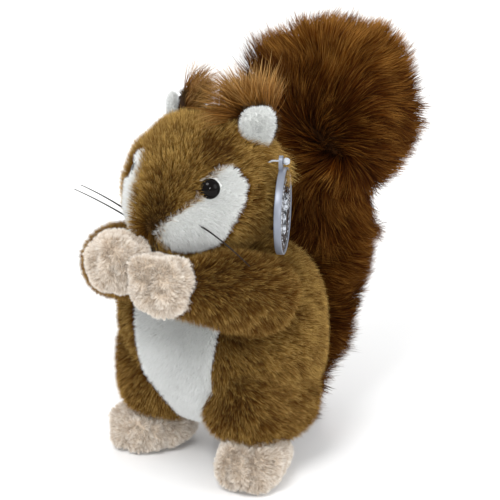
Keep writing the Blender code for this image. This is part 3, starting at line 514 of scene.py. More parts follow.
def build_pile_tint():
    """Colours a fibre from its map: dark at the root, its own tone above, lighter at the tip."""
    group = bpy.data.node_groups.new("pile_tint", "ShaderNodeTree")
    for label in ("Root", "Deep Middle", "Deep Tip", "Pale Middle", "Pale Tip"):
        group.interface.new_socket(label, in_out="INPUT", socket_type="NodeSocketColor")
    group.interface.new_socket("Color", in_out="OUTPUT", socket_type="NodeSocketColor")
    nodes, links = group.nodes, group.links
    given, out = nodes.new("NodeGroupInput"), nodes.new("NodeGroupOutput")
    fibre_map = nodes.new("ShaderNodeUVMap")
    fibre_map.uv_map = "OFBake"
    parts = nodes.new("ShaderNodeSeparateXYZ")
    links.new(fibre_map.outputs["UV"], parts.inputs["Vector"])

    def blend(factor, low, high):
        mix = nodes.new("ShaderNodeMix")
        mix.data_type = "RGBA"
        links.new(factor, mix.inputs["Factor"])
        links.new(low, mix.inputs["A"])
        links.new(high, mix.inputs["B"])
        return mix.outputs["Result"]

    def share(start, end):
        step = nodes.new("ShaderNodeMapRange")
        step.interpolation_type = "SMOOTHSTEP"
        step.inputs["From Min"].default_value = start
        step.inputs["From Max"].default_value = end
        links.new(parts.outputs["Y"], step.inputs["Value"])
        return step.outputs["Result"]

    tone = parts.outputs["X"]
    middle = blend(tone, given.outputs["Deep Middle"], given.outputs["Pale Middle"])
    tip = blend(tone, given.outputs["Deep Tip"], given.outputs["Pale Tip"])
    lower = blend(share(0.0, 0.5), given.outputs["Root"], middle)
    links.new(blend(share(0.50, 0.95), lower, tip), out.inputs["Color"])
    return group


pile_tint = build_pile_tint()


def pile_finish(name, root, deep, pale, roughness=0.7, gloss=0.08):
    """Fibres of one dye lot: `deep` and `pale` are its darkest and lightest, (middle, tip)."""
    finish = bpy.data.materials.new(name)
    finish.use_nodes = True
    nodes, links = finish.node_tree.nodes, finish.node_tree.links
    shader = nodes["Principled BSDF"]
    shader.inputs["Roughness"].default_value = roughness
    shader.inputs["Specular IOR Level"].default_value = gloss
    tint = nodes.new("ShaderNodeGroup")
    tint.node_tree = pile_tint
    for label, color in (("Root", root), ("Deep Middle", deep[0]), ("Deep Tip", deep[1]),
                         ("Pale Middle", pale[0]), ("Pale Tip", pale[1])):
        tint.inputs[label].default_value = (*color, 1)
    links.new(tint.outputs["Color"], shader.inputs["Base Color"])
    return finish


# On the head, places are given as degrees round from the nose and up from level.
PATCH_EDGE = np.array([(6, -17), (9, -11), (20, -3), (29, 5), (40, 21), (49, 27), (60, 26),
                       (66, 13), (62, 2), (55, -9), (50, -20), (45, -30), (33, -36), (21, -34),
                       (9, -26)], dtype=float)
FAR_PATCH_EDGE = np.array([(11, -15), (12, -8), (15, 0), (20, 10), (26, 22), (33, 29), (42, 27),
                           (46, 16), (42, 5), (37, -4), (36, -18), (36, -28), (31, -35),
                           (23, -33), (15, -25)], dtype=float)
EYE_AROUND, EYE_UP = 39, 12
PANEL_LOW, PANEL_HIGH = 0.017, 0.110
PANEL_HALF_LOW, PANEL_HALF_GAIN = 0.016, 0.012
# Where painted shade darkens the head's pile, in front of the left ear.
PAINTED_SHADE_BY_EAR = np.array(MIDDLE) + np.array([0.0180, -0.0300, 0.1760])
BELOW_EAR = np.array(MIDDLE) + np.array([0.0262, -0.0146, 0.1757])
CURL_BELOW_EAR = np.array(MIDDLE) + np.array([0.034, -0.006, 0.163])
LOCK_ROOT = np.array(MIDDLE) + np.array([0.0330, -0.0060, 0.1670])
LOCK_WAY = [0.85, 0.30, -0.42]


def on_belly(points, spare=0.0):
    """Where the white panel is let into the front of the body."""
    x, y, z = (points - np.array(MIDDLE)).T
    half = PANEL_HALF_LOW + PANEL_HALF_GAIN * ramp(z, PANEL_LOW, PANEL_HIGH - PANEL_LOW) + spare
    return (np.abs(x) < half) & (y < -0.012) & (z > PANEL_LOW - spare) & (z < PANEL_HIGH + spare)


def head_degrees(points):
    """How far round from the nose, to the left, and how far up each point of the head lies."""
    x, y, z = unit(points - head_form["centre"]).T
    return np.degrees(np.arctan2(x, -y)), np.degrees(np.arcsin(z))


def on_patch(points, side, spare=0.0):
    """Where a white patch is let into the head."""
    around, up = head_degrees(points)
    around = around * side
    outline = PATCH_EDGE if side == LEFT else FAR_PATCH_EDGE
    middle = outline.mean(axis=0)
    edge = middle + (outline - middle) * (1 + spare / 20)
    inside = np.zeros(len(points), dtype=bool)
    for (x1, y1), (x2, y2) in zip(edge, np.roll(edge, -1, axis=0)):
        crosses = (y1 > up) != (y2 > up)
        inside ^= crosses & (around < (x2 - x1) * (up - y1) / (y2 - y1 + 1e-9) + x1)
    return inside


def clear_of_eyes(points, radius=0.0052):
    kept = np.ones(len(points), dtype=bool)
    for side in SIDES:
        offset, eye_way = points - head_form["centre"], from_head(side * EYE_AROUND, EYE_UP)
        along = offset @ eye_way
        kept &= (along < 0) | (np.linalg.norm(offset - along[:, None] * eye_way, axis=1) > radius)
    return kept


def comb_back(points):
    """Back and down, and outwards from the middle of the front."""
    x = points[:, 0] - MIDDLE.x
    return np.stack([x * 12, np.full(len(x), 0.8), np.full(len(x), -0.75)], axis=1)


def comb_head(points):
    """From the muzzle's tip up over the forehead, and back and down over the cheeks."""
    offset = unit(points - (head_form["centre"] + muzzle_way * 0.055))
    low = ramp(-points[:, 2], -head_form["centre"][2] - 0.020, 0.03)
    across = (points[:, 0] - head_form["centre"][0]) * 22 * (1 - low)
    return offset + np.stack([across, 0.25 + 0.35 * low, -0.55 * low], axis=1)


def head_tones_and_painted_light(points):
    """Paler round the patches and darker above each eye. Painted light pales the crown; painted
    shade darkens the lower cheeks, the underside and the place in front of the left ear.
    """
    around, up = head_degrees(points)
    around = np.abs(around)
    # Painted light: paler over the crown, as if lit from above.
    crown = 0.16 * bell(around, 38) * ramp(up, 0, 30)
    brow = -0.22 * bell(around - 42, 16) * bell(up - 38, 12)
    # Painted shade: darker on the lower cheeks and under the head.
    cheek = -0.26 * ramp(around, 52, 14) * ramp(-up, -24, 20)
    chin = -0.12 * ramp(-up, 10, 30)
    fringe = 0.28 * (on_patch(points, LEFT, 1.7) | on_patch(points, RIGHT, 1.7))
    # Painted shade: darker in front of the left ear.
    by_ear = -0.60 * bell(np.linalg.norm(points - PAINTED_SHADE_BY_EAR, axis=1), 0.009)
    return crown + brow + fringe + cheek + chin + by_ear


def head_lengths(points):
    """Fuller on the muzzle's ridge and under the left ear, shorter in front of that ear."""
    around, up = head_degrees(points)

    def near(place, spread):
        return bell(np.linalg.norm(points - place, axis=1), spread)

    return (1 + 0.25 * bell(around, 12) * (up < 5) + 0.75 * near(CURL_BELOW_EAR, 0.008)
            - 0.45 * near(PAINTED_SHADE_BY_EAR, 0.009) - 0.55 * near(BELOW_EAR, 0.006))


def comb_sleeve(side):
    """Down and outwards, and a little back along the sleeve from wrist to shoulder."""
    def comb(points):
        rows = arm_forms[side]["rows"][::3, :3]
        nearest = ((points[:, None, :] - rows[None]) ** 2).sum(axis=2).argmin(axis=1)
        return (arm_forms[side]["forward"][::3][nearest] * -0.3
                + np.array([side * 0.3, 0.25, -0.8]))
    return comb


brown_pile = pile_finish("brown_pile_fibre", (0.012, 0.004, 0.0006),
                         ((0.042, 0.0125, 0.0012), (0.112, 0.042, 0.0045)),
                         ((0.170, 0.080, 0.0105), (0.680, 0.450, 0.140)), gloss=0.05)
BROWN = dict(finish=brown_pile, slot="brown_plush", per_cm2=600, length=0.0062, width=0.00028,
             lift=(70, 32), stray=13, lock=0.0012, gather=0.45, tone=0.50, tone_spread=0.30,
             patchy=0.12)
# All one fabric: the head's pile is toned paler as painted light, and the legs' and sleeves' darker
# as painted shade.
HEAD_PAINTED_LIGHT = {**BROWN, "tone": 0.64}
LEG_PAINTED_SHADE = {**BROWN, "tone": 0.33}
SLEEVE_PAINTED_SHADE = {**BROWN, "lift": (74, 46), "tone": 0.24}
HEAD_LOCK = {**BROWN, "length": 0.0135, "free": 0.6, "stray": 20, "tone": 0.66, "segments": 2,
             "droop": 0.2}
body_neighbours = [head_form, *leg_forms.values(), *arm_forms.values(), tail_form]
grow_pile("body_pile", body_cloth, ["body_cover"], comb_back,
          lambda p: ~on_belly(p) & outside(p, body_neighbours), seed=11, **BROWN)
grow_pile("head_pile", head_cloth, ["head_cover"], comb_head,
          lambda p: (~on_patch(p, LEFT) & ~on_patch(p, RIGHT) & clear_of_eyes(p)
                     & outside(p, [body_form, *paw_forms.values()])),
          seed=21, paler=head_tones_and_painted_light, longer=head_lengths, **HEAD_PAINTED_LIGHT)
grow_pile("head_lock", head_cloth, [], lambda p: np.tile(LOCK_WAY, (len(p), 1)),
          lambda p: np.linalg.norm(p - LOCK_ROOT, axis=1) < 0.0085, seed=23, **HEAD_LOCK)
for side, word in SIDES.items():
    grow_pile(f"leg_pile_{word}", leg_cloths[side], [f"leg_{word}"], comb_back,
              lambda p: outside(p, [body_form, foot_forms[side]]), seed=31 + side, **LEG_PAINTED_SHADE)
    grow_pile(f"arm_pile_{word}", arm_cloths[side], [f"arm_{word}"], comb_sleeve(side),
              lambda p: outside(p, [body_form, head_form, *paw_forms.values()], margin=0.004),
              seed=51 + side, **SLEEVE_PAINTED_SHADE)

# The ears' backs: the same pile in its darkest brown, standing up and out from the middle of each
# ear. The darkness beside the forehead, in front of the left ear, is painted shade in the head's
# pile.
dark_pile = pile_finish("dark_ear_fibre", (0.012, 0.007, 0.004),
                        ((0.030, 0.016, 0.007), (0.070, 0.038, 0.014)),
                        ((0.10, 0.055, 0.020), (0.26, 0.16, 0.065)))
EAR_BACK = dict(finish=dark_pile, slot="brown_plush", per_cm2=700, length=0.0050, width=0.00028,
                lift=(70, 25), tone=0.4, tone_spread=0.24)


def on_lining(points, side):
    """The outer face of an ear, wide at its top and narrow where it meets the head."""
    across, ahead, up = ((points - ear_forms[side]["centre"]) @ ear_forms[side]["turn"]).T
    half = 0.0070 + 0.0030 * ramp(up, -0.010, 0.016)
    return (ahead < 0.0004) & (np.abs(across) < half) & (np.abs(up) < 0.0105)


def comb_ear(side):
    return lambda points: unit(points - ear_forms[side]["centre"]) * 0.6 + UPRIGHT


for side, word in SIDES.items():
    grow_pile(f"ear_back_pile_{word}", ear_cloths[side], [f"ear_back_{word}"], comb_ear(side),
              lambda p: ~on_lining(p, side) & outside(p, [head_form]), seed=81 + side, **EAR_BACK)

# The white pile: short, dense and close-cropped, on the belly panel, the face patches and the
# linings of the ears. Each has white backing cloth of its own, let into the brown.
PANEL_DEPTH, PATCH_DEPTH, LINING_DEPTH = 0.0036, 0.0024, 0.0016
LINING_OUT, LINING_UP = -0.0050, 0.0006
white_pile = pile_finish("white_pile_fibre", (0.62, 0.63, 0.61),
                         ((0.71, 0.72, 0.705), (0.77, 0.785, 0.775)),
                         ((0.80, 0.81, 0.80), (0.87, 0.88, 0.88)))
white_cloth = cloth_finish("white_backing_cloth", (0.66, 0.67, 0.65), (0.72, 0.73, 0.71))
WHITE = dict(finish=white_pile, slot="white_plush", length=0.0034, width=0.00030, lift=(76, 55),
             stray=14, swirl=10, lock=0.0012, gather=0.25, patchy=0.08)
PANEL = {**WHITE, "per_cm2": 1100}
PATCH = {**WHITE, "per_cm2": 900}
LINING = {**WHITE, "per_cm2": 1500, "length": 0.0024, "lift": (84, 74), "gather": 0.1, "swirl": 4}
belly_cloth = stuffed_ball("belly_cloth", body_form, PANEL_DEPTH, white_cloth, [],
                           lumps=0.0002, detail=6, panel=lambda p: on_belly(p, -0.0004))
grow_pile("belly_pile", belly_cloth, ["belly_panel"], comb_back,
          lambda p: (outside(p, [body_form], margin=0.0042)
                     & outside(p, body_neighbours, margin=0.003)), seed=12, **PANEL)
for side, word in SIDES.items():
    patch_cloth = stuffed_ball(f"face_patch_cloth_{word}", head_form, PATCH_DEPTH, white_cloth,
                               [], lumps=0.0002, detail=6,
                               panel=lambda p: on_patch(p, side, -0.4))
    grow_pile(f"face_patch_pile_{word}", patch_cloth, [f"face_patch_{word}"], comb_head,
              lambda p: (outside(p, [head_form], margin=0.0030) & clear_of_eyes(p)
                         & outside(p, [body_form], margin=0.003)), seed=22 + side, **PATCH)
    lining_form = stuffed_form((0, 0, 0), (0.0096, 0.0028, 0.0118), fullness=3.2, taper=0.32,
                               turn=side * EAR_TURN)
    lining_form["centre"] = (ear_forms[side]["centre"]
                             + ear_forms[side]["turn"] @ np.array([0, LINING_OUT, LINING_UP]))
    lining_cloth = stuffed_ball(f"ear_lining_cloth_{word}", lining_form, LINING_DEPTH, white_cloth,
                                [], lumps=0.0002, detail=3)
    grow_pile(f"ear_lining_pile_{word}", lining_cloth, [f"ear_lining_{word}"], comb_ear(side),
              lambda p: outside(p, [head_form], margin=0.002), seed=84 + side, **LINING)

# The beige pile: soft, short curls on the paws and feet, matted in small tufts. Painted shade
# darkens it where a toe or a thumb is creased.
beige_pile = pile_finish("beige_pile_fibre", (0.44, 0.33, 0.24),
                         ((0.56, 0.455, 0.355), (0.68, 0.60, 0.51)),
                         ((0.76, 0.68, 0.58), (0.94, 0.90, 0.845)))
BEIGE = dict(finish=beige_pile, slot="beige_plush", per_cm2=1250, length=0.0030, width=0.00032,
             lift=(80, 58), stray=24, swirl=50, swirl_size=0.006, lock=0.0013, gather=0.6,
             patch_size=0.008, patchy=0.10, tone=0.64, tone_spread=0.20)


def painted_crease_shade(form, depth):
    """Painted shade: darker by up to `depth` where the form is drawn in."""
    def tones(points):
        ways = unit((points - form["centre"]) @ form["turn"])
        total = np.zeros(len(points))
        for way, height, spread in form["bumps"]:
            if height < 0:
                total = np.maximum(total, bell(angle_between(ways, way), spread))
        return -depth * total
    return tones


for side, word in SIDES.items():
    grow_pile(f"foot_pile_{word}", foot_cloths[side], [f"foot_{word}"], comb_back,
              lambda p: outside(p, [leg_forms[side], body_form]), seed=41 + side,
              paler=painted_crease_shade(foot_forms[side], 0.35), **BEIGE)
    grow_pile(f"paw_pile_{word}", paw_cloths[side], [f"paw_{word}"], comb_back,
              lambda p: outside(p, [head_form, paw_forms[-side]], margin=0.003), seed=61 + side,
              paler=painted_crease_shade(paw_forms[side], 0.4), **BEIGE)

# The tail's pile: long, silky red-brown hair. On the lobe it is brushed away from a parting in
# front, and below it backwards round the stem. The hair over the stem is shorter, so the lobe's
# hair hangs over it in a ledge.
tail_pile = pile_finish("tail_pile_fibre", (0.007, 0.0016, 0.0002),
                        ((0.022, 0.0050, 0.0005), (0.060, 0.0155, 0.0014)),
                        ((0.115, 0.031, 0.002), (0.430, 0.205, 0.042)), roughness=0.65, gloss=0.03)
TAIL = dict(finish=tail_pile, slot="tail_plush", per_cm2=215, length=0.019, width=0.00034,
            segments=2, lift=(50, 14), stray=12, swirl=24, swirl_size=0.035, lock=0.0026,
            gather=0.5, wave=0.0006, tone=0.36, tone_spread=0.26)
PARTING = np.array(MIDDLE) + np.array([0.021, 0.058, 0.154])
LEDGE = 0.103
TAIL_LENGTHS = {"lower": (-1, 0.085), "middle": (0.085, 0.150), "upper": (0.150, 1)}


def wander(points, size, seed):
    """A smooth direction that wanders over distances of `size`."""
    return np.stack([drift(points, size, seed + i) for i in range(3)], axis=1)


def aside_and_up(points):
    """How far each point lies to the squirrel's left and back, and how high."""
    x, y, z = (points - np.array(MIDDLE)).T
    return x * 0.8 + y * 0.6, z


def lobe_underside(points):
    """One at the lobe's left lower edge, where it is gathered in over the stem."""
    aside, z = aside_and_up(points)
    return ramp(aside, 0.070, 0.02) * bell(z - 0.128, 0.020)


def lobe_crest(points):
    """Where the lobe's hair is fluffed up: one on its right upper side, and one on its top."""
    aside, z = aside_and_up(points)
    return ramp(-aside, -0.046, 0.02) * ramp(z, 0.155, 0.02), ramp(z, 0.180, 0.015)


def comb_tail(points):
    """In a whorl away from the parting on the lobe, and outwards and back round the stem."""
    away = np.linalg.norm(points - PARTING, axis=1)[:, None]
    ways = unit(points - PARTING)
    lobe = (ways + 0.45 * np.cross(ways, back_to_camera)) * np.clip(away / 0.022, 0.1, 1)
    lobe = lobe + 0.42 * wander(points, 0.045, 301)
    lobe[:, 2] += 0.8 * lobe_underside(points)
    low = ramp(-points[:, 2], -0.050, 0.04)
    stem = np.stack([np.full(len(points), 0.75), np.full(len(points), 0.45), 0.20 - 1.2 * low],
                    axis=1)
    stem = stem + 0.25 * wander(points, 0.03, 311)
    share = ramp(points[:, 2], LEDGE - 0.004, 0.012)[:, None]
    return lobe * share + unit(stem) * (1 - share)


def tail_length(points):
    """Shorter over the stem and under the lobe, longer where it is fluffed up."""
    aside, top = lobe_crest(points)
    return (np.where(points[:, 2] > LEDGE, 1.0, 0.72) + 0.55 * aside - 0.05 * top
            - 0.45 * lobe_underside(points))


def tail_raised(points):
    """Hair stands off the cloth on top of the lobe, at its right side and in the parting."""
    aside, top = lobe_crest(points)
    in_parting = bell(np.linalg.norm(points - PARTING, axis=1), 0.010)
    return 16 * top + 26 * aside + 26 * in_parting + 11 * drift(points, 0.030, 331)


def tail_painted_light(points):
    """Paler towards the top of the lobe, as painted light from above."""
    return 0.50 * ramp(points[:, 2], 0.172, 0.030) - 0.20


for part, (start, end) in TAIL_LENGTHS.items():
    grow_pile(f"tail_pile_{part}", tail_cloth, ["tail_cover"] if part == "middle" else [],
              comb_tail, lambda p: (p[:, 2] > start) & (p[:, 2] <= end) & outside(p, [body_form]),
              seed=71, longer=tail_length, paler=tail_painted_light, raised=tail_raised, **TAIL)

# The ear tufts: long amber hair sewn into the top seam of each ear. It fans inwards over the
# crown and a little back, and its tips droop.
TUFT_LENGTH, TUFT_LEAN = {LEFT: 0.022, RIGHT: 0.018}, {LEFT: 0.35, RIGHT: 0.8}
tuft_pile = pile_finish("ear_tuft_fibre", (0.045, 0.014, 0.002),
                        ((0.110, 0.040, 0.006), (0.190, 0.080, 0.014)),
                        ((0.250, 0.110, 0.022), (0.560, 0.340, 0.120)), roughness=0.55)
TUFT = dict(finish=tuft_pile, slot="brown_plush", per_cm2=1500, width=0.00030, segments=3,
            lift=(60, 35), stray=18, swirl=30, swirl_size=0.012, lock=0.0018, gather=0.45,
            wave=0.0014, droop=0.30, free=0.68, uneven=0.32, tone=0.55, tone_spread=0.24)
for side, word in SIDES.items():
    ear = ear_forms[side]

    def fan_out(points):
        """Spread in the ear's own plane, leaning in over the crown."""
        across = ((points - ear["centre"]) @ ear["turn"])[:, 0] / 0.0125
        angle = np.radians(48) * np.clip(across, -1, 1) - side * math.radians(16)
        spread = np.stack([np.sin(angle), np.full(len(points), 0.10), np.cos(angle)], axis=1)
        inwards = np.array([-side * TUFT_LEAN[side], -0.1, 0])
        return spread @ ear["turn"].T + inwards + 0.45 * wander(points, 0.012, 321)

    grow_pile(f"ear_tuft_{word}", ear_cloths[side], [], fan_out,
              lambda p: ~on_lining(p, side) & (p[:, 2] > ear["centre"][2] + 0.004),
              seed=87 + side, length=TUFT_LENGTH[side], **TUFT)


# The eyes: black moulded domes with a highly polished face, let in among the pile so that it laps
# over their rims. Behind each is a shank, pushed through the cloth into a ridged lock washer.
def moulded_finish(name, color, other, roughness, metallic=0.0, gloss=0.5, grain=400, relief=0.0,
                   glow=0.0, blend=0.5):
    """Plastic or foil with two close tones and a fine uneven surface."""
    finish = bpy.data.materials.new(name)
    finish.use_nodes = True
    nodes, links = finish.node_tree.nodes, finish.node_tree.links
    shader = nodes["Principled BSDF"]
    shader.inputs["Roughness"].default_value = roughness
    shader.inputs["Metallic"].default_value = metallic
    shader.inputs["Specular IOR Level"].default_value = gloss
    shader.inputs["Transmission Weight"].default_value = glow
    place = nodes.new("ShaderNodeTexCoord")
    tones = nodes.new("ShaderNodeTexNoise")
    tones.inputs["Scale"].default_value = grain
    tones.inputs["Detail"].default_value = 3
    parting = nodes.new("ShaderNodeMapRange")
    parting.inputs["From Min"].default_value = 0.5 - blend
    parting.inputs["From Max"].default_value = 0.5 + blend
    mix = nodes.new("ShaderNodeMix")
    mix.data_type = "RGBA"
    mix.inputs["A"].default_value = (*color, 1)
    mix.inputs["B"].default_value = (*other, 1)
    bump = nodes.new("ShaderNodeBump")
    bump.inputs["Strength"].default_value = relief
    bump.inputs["Distance"].default_value = 0.0006
    links.new(place.outputs["Object"], tones.inputs["Vector"])
    links.new(tones.outputs["Fac"], parting.inputs["Value"])
    links.new(parting.outputs["Result"], mix.inputs["Factor"])
    links.new(mix.outputs["Result"], shader.inputs["Base Color"])
    links.new(tones.outputs["Fac"], bump.inputs["Height"])
    links.new(bump.outputs["Normal"], shader.inputs["Normal"])
    return finish


def turned(name, profile, place, aim, finish, replaces=(), steps=48, raised=None):
    """A profile of (radius, height) points spun about an axis at `place` along `aim`.

    `raised` gives how far its face is lifted at each (x, y).
    """
    shape = bmesh.new()
    verts = [shape.verts.new((radius, 0, height)) for radius, height in profile]
    edges = [shape.edges.new(pair) for pair in zip(verts, verts[1:])]
    bmesh.ops.spin(shape, geom=verts + edges, cent=(0, 0, 0), axis=(0, 0, 1),
                   angle=2 * math.pi, steps=steps, use_merge=True)
    bmesh.ops.remove_doubles(shape, verts=shape.verts, dist=1e-6)
    bmesh.ops.recalc_face_normals(shape, faces=shape.faces)
    if raised is not None:
        for vert in shape.verts:
            vert.co.z += raised(vert.co.x, vert.co.y) if vert.co.z > 0 else 0
    turn = Vector((0, 0, 1)).rotation_difference(Vector(aim)).to_matrix().to_4x4()
    bmesh.ops.transform(shape, matrix=Matrix.Translation(Vector(place)) @ turn, verts=shape.verts)
    in_order(shape)
    return add_piece(name, finished_mesh(shape, name), finish, replaces)


def on_head(way, below=0.0):
    return head_form["centre"] + way * (form_reach(head_form, way[None, :])[0] - below)


EYE_RADIUS, EYE_HEIGHT = 0.0050, 0.0036
EYE_BELOW_PILE = {LEFT: 0.0020, RIGHT: 0.0052}
eye_black = moulded_finish("polished_eye", (0.001, 0.0008, 0.0008), (0.003, 0.0016, 0.0012), 0.03,
                           gloss=0.11, grain=260)
washer_white = moulded_finish("moulded_washer", (0.78, 0.78, 0.76), (0.86, 0.86, 0.84), 0.45,
                              relief=0.2)
dome = [(EYE_RADIUS * math.sin(angle), EYE_HEIGHT * math.cos(angle))
        for angle in (math.pi / 2 * i / 14 for i in range(15))]
rim_and_shank = [(EYE_RADIUS, -0.0004), (0.0046, -0.0007), (0.0018, -0.0007), (0.0016, -0.0010),
                 (0.0016, -0.0105), (0.0012, -0.0110), (0.0, -0.0110)]
for side, word in SIDES.items():
    eye_way = from_head(side * EYE_AROUND, EYE_UP)
    turned(f"eye_dome_{word}", dome + rim_and_shank, on_head(eye_way, EYE_BELOW_PILE[side]),
           eye_way, eye_black, [f"eye_{word}"])
    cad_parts[f"eye_washer_{word}"].material_slots[0].material = washer_white

# The nose: a small black moulded button at the lower end of the muzzle. The pile round it nearly
# covers it.
nose_black = moulded_finish("nose_button", (0.006, 0.004, 0.003), (0.014, 0.009, 0.007), 0.28,
                            gloss=0.2, grain=900, relief=0.3)
nose_form = stuffed_form((0, 0, 0), (0.0045, 0.0035, 0.0035))
nose_form["centre"] = on_head(from_head(0, -27), 0.0027)
stuffed_ball("nose_button", nose_form, 0.0, nose_black, ["nose"], lumps=0.0,
             detail=3)

# The whiskers: three springy nylon filaments, knotted inside the head and drawn out through the
# face patches. Each tapers to its tip.
WHISKER_RADIUS = 0.00048
whisker_finish = moulded_finish("whisker_nylon_fibre", (0.012, 0.010, 0.009),
                                (0.022, 0.018, 0.016), 0.35, grain=700, gloss=0.15)


def round_curve(name, points, radius, radii=None):
    """A round filament along `points`, thinned by `radii` where they are given."""
    curve = bpy.data.curves.new(name, "CURVE")
    curve.dimensions, curve.bevel_depth, curve.bevel_resolution = "3D", radius, 3
    curve.use_fill_caps = True
    line = curve.splines.new("POLY")
    line.points.add(len(points) - 1)
    for i, (spot, point) in enumerate(zip(line.points, points)):
        spot.co = (*point, 1.0)
        if radii is not None:
            spot.radius = radii[i]
    return curve


def whisker(name, around, up, tip, bow):
    """Leaves the head at (around, up) in degrees, and bends by `bow` on its way to `tip`."""
    leaves, tip = Vector(on_head(from_head(around, up), 0.0012)), MIDDLE + Vector(tip)
    bend = leaves.lerp(tip, 0.5) + Vector(bow)
    points = [leaves - (bend - leaves).normalized() * 0.005]
    points += [leaves * (1 - t) ** 2 + bend * 2 * t * (1 - t) + tip * t**2
               for t in (i / 20 for i in range(21))]
    thinning = [1.0 - 0.6 * i / (len(points) - 1) for i in range(len(points))]
    add_piece(name, round_curve(name, points, WHISKER_RADIUS, thinning), whisker_finish,
              [name.replace("filament", "whisker")])


whisker("filament_right_upper", -38, -16, (-0.059, -0.036, 0.1422), (0.0, 0.0, 0.0012))
whisker("filament_right_lower", -37, -22, (-0.0615, -0.038, 0.1400), (0.0, 0.0, 0.0012))
whisker("filament_left", 33, -12, (0.054, -0.049, 0.1290), (0.0, -0.002, 0.004))

# The hang tag: a silvered plastic disc with a rolled rim and a flat lug at its top. A disc of thin
# foil, pressed with an acorn inside a beaded ring, is let into its outer face.
TAG_RADIUS, FOIL_RADIUS, FOIL_LIES_AT = 0.021, 0.0200, 0.0014
tag_low, tag_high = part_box("hang_tag")
tag_facing = Vector((math.cos(math.radians(28)), math.sin(math.radians(28)), 0.0))
tag_middle = Vector(((tag_low.x + tag_high.x) / 2, (tag_low.y + tag_high.y) / 2,
                     tag_low.z + TAG_RADIUS))
tag_middle -= tag_facing * 0.0012
tag_silver = moulded_finish("silvered_rim", (0.16, 0.175, 0.215), (0.22, 0.24, 0.285), 0.38,
                            metallic=0.35, grain=120, relief=0.05)
# The foil's colour is blotched near-black and silver. The dark blotches are painted reflections of
# the dark fur around it.
tag_foil_painted_reflections = moulded_finish("pressed_foil_painted_reflections", (0.035, 0.038, 0.042), (0.55, 0.58, 0.64), 0.14,
                          metallic=0.95, grain=520, relief=0.7, blend=0.08)
tag_profile = [(0.0, -0.0016), (0.0200, -0.0016), (0.0206, -0.0018), (0.0209, -0.0016),
               (TAG_RADIUS, -0.0013), (TAG_RADIUS, 0.0013), (0.0209, 0.0016), (0.0206, 0.0018),
               (0.0202, 0.0017), (0.0200, 0.0013), (0.0, 0.0009)]
turned("hang_tag_disc", tag_profile, tag_middle, tag_facing, tag_silver,
       ["hang_tag"], steps=96)


def pressed(x, y):
    """The height of the foil's pattern: an acorn with a hatched cap, and a ring of beads."""
    radius, angle = math.hypot(x, y), math.atan2(y, x)
    up, across = -x, y
    nut = 1 - (across / 0.0058) ** 2 - ((up + 0.0035) / 0.0082) ** 2
    cap = 1 - (across / 0.0076) ** 2 - ((up - 0.0048) / 0.0046) ** 2
    height = 0.0010 * max(0.0, min(1.0, nut * 2.5))
    if cap > 0:
        hatching = 0.0002 * math.sin(across * 2400) * math.sin(up * 2400)
        height = 0.0012 * min(1.0, cap * 3) + hatching
    ring = max(0.0, 1 - abs(radius - 0.0158) / 0.0010)
    return height + 0.0005 * ring * (0.6 + 0.4 * math.cos(angle * 36))


foil_face = [(FOIL_RADIUS * i / 34, FOIL_LIES_AT) for i in range(34, -1, -1)]
turned("hang_tag_foil", [(0.0, 0.0), (FOIL_RADIUS, 0.0)] + foil_face, tag_middle, tag_facing,
       tag_foil_painted_reflections, steps=120, raised=pressed)

# The tag's pin: a clear filament from the seam in front of the ear, through the hole of the tag's
# lug, to a moulded bead. The lug is a flat eyelet, drawn down into the disc.
LUG_RADIUS, HOLE_RADIUS, LUG_HALF_THICKNESS, LUG_REACH_DOWN = 0.0026, 0.0010, 0.0009, 2.4
PIN_RADIUS = 0.00045
pin_clear = moulded_finish("clear_pin", (0.50, 0.53, 0.57), (0.62, 0.65, 0.69), 0.2, grain=300,
                           glow=0.35)
hole = tag_middle + Vector((0, 0, TAG_RADIUS + 0.0040)) - tag_facing * 0.0009
edge_way = Vector((0, 0, 1)).cross(tag_facing)
lug = bmesh.new()
loops = []
for radius, depth in ((HOLE_RADIUS, -LUG_HALF_THICKNESS), (LUG_RADIUS, -LUG_HALF_THICKNESS),
                      (LUG_RADIUS, LUG_HALF_THICKNESS), (HOLE_RADIUS, LUG_HALF_THICKNESS)):
    ring = []
    for i in range(40):
        angle = 2 * math.pi * i / 40
        down = LUG_REACH_DOWN if math.sin(angle) < 0 and radius == LUG_RADIUS else 1.0
        ring.append(lug.verts.new(hole + edge_way * radius * math.cos(angle) + tag_facing * depth
                                  + Vector((0, 0, radius * math.sin(angle) * down))))
    loops.append([lug.edges.new((ring[i], ring[(i + 1) % 40])) for i in range(40)])
for one, two in zip(loops, loops[1:] + loops[:1]):
    bmesh.ops.bridge_loops(lug, edges=one + two)
bmesh.ops.recalc_face_normals(lug, faces=lug.faces)
in_order(lug)
add_piece("hang_tag_lug", finished_mesh(lug, "hang_tag_lug", smooth=False), tag_silver)
bead = hole + tag_facing * 0.0026
pin_root = Vector(on_head(unit(np.array(hole) - head_form["centre"]), 0.004))
pin_line = round_curve("tag_pin_filament", (pin_root, hole - tag_facing * 0.004, hole, bead),
                       PIN_RADIUS)
add_piece("tag_pin_filament", pin_line, pin_clear, ["tag_pin"])
turned("tag_pin_bead", [(0.0, 0.0017), (0.0011, 0.0015), (0.0017, 0.0006), (0.0017, -0.0006),
                        (0.0011, -0.0015), (0.0, -0.0017)],
       bead, tag_facing, pin_clear, steps=12)

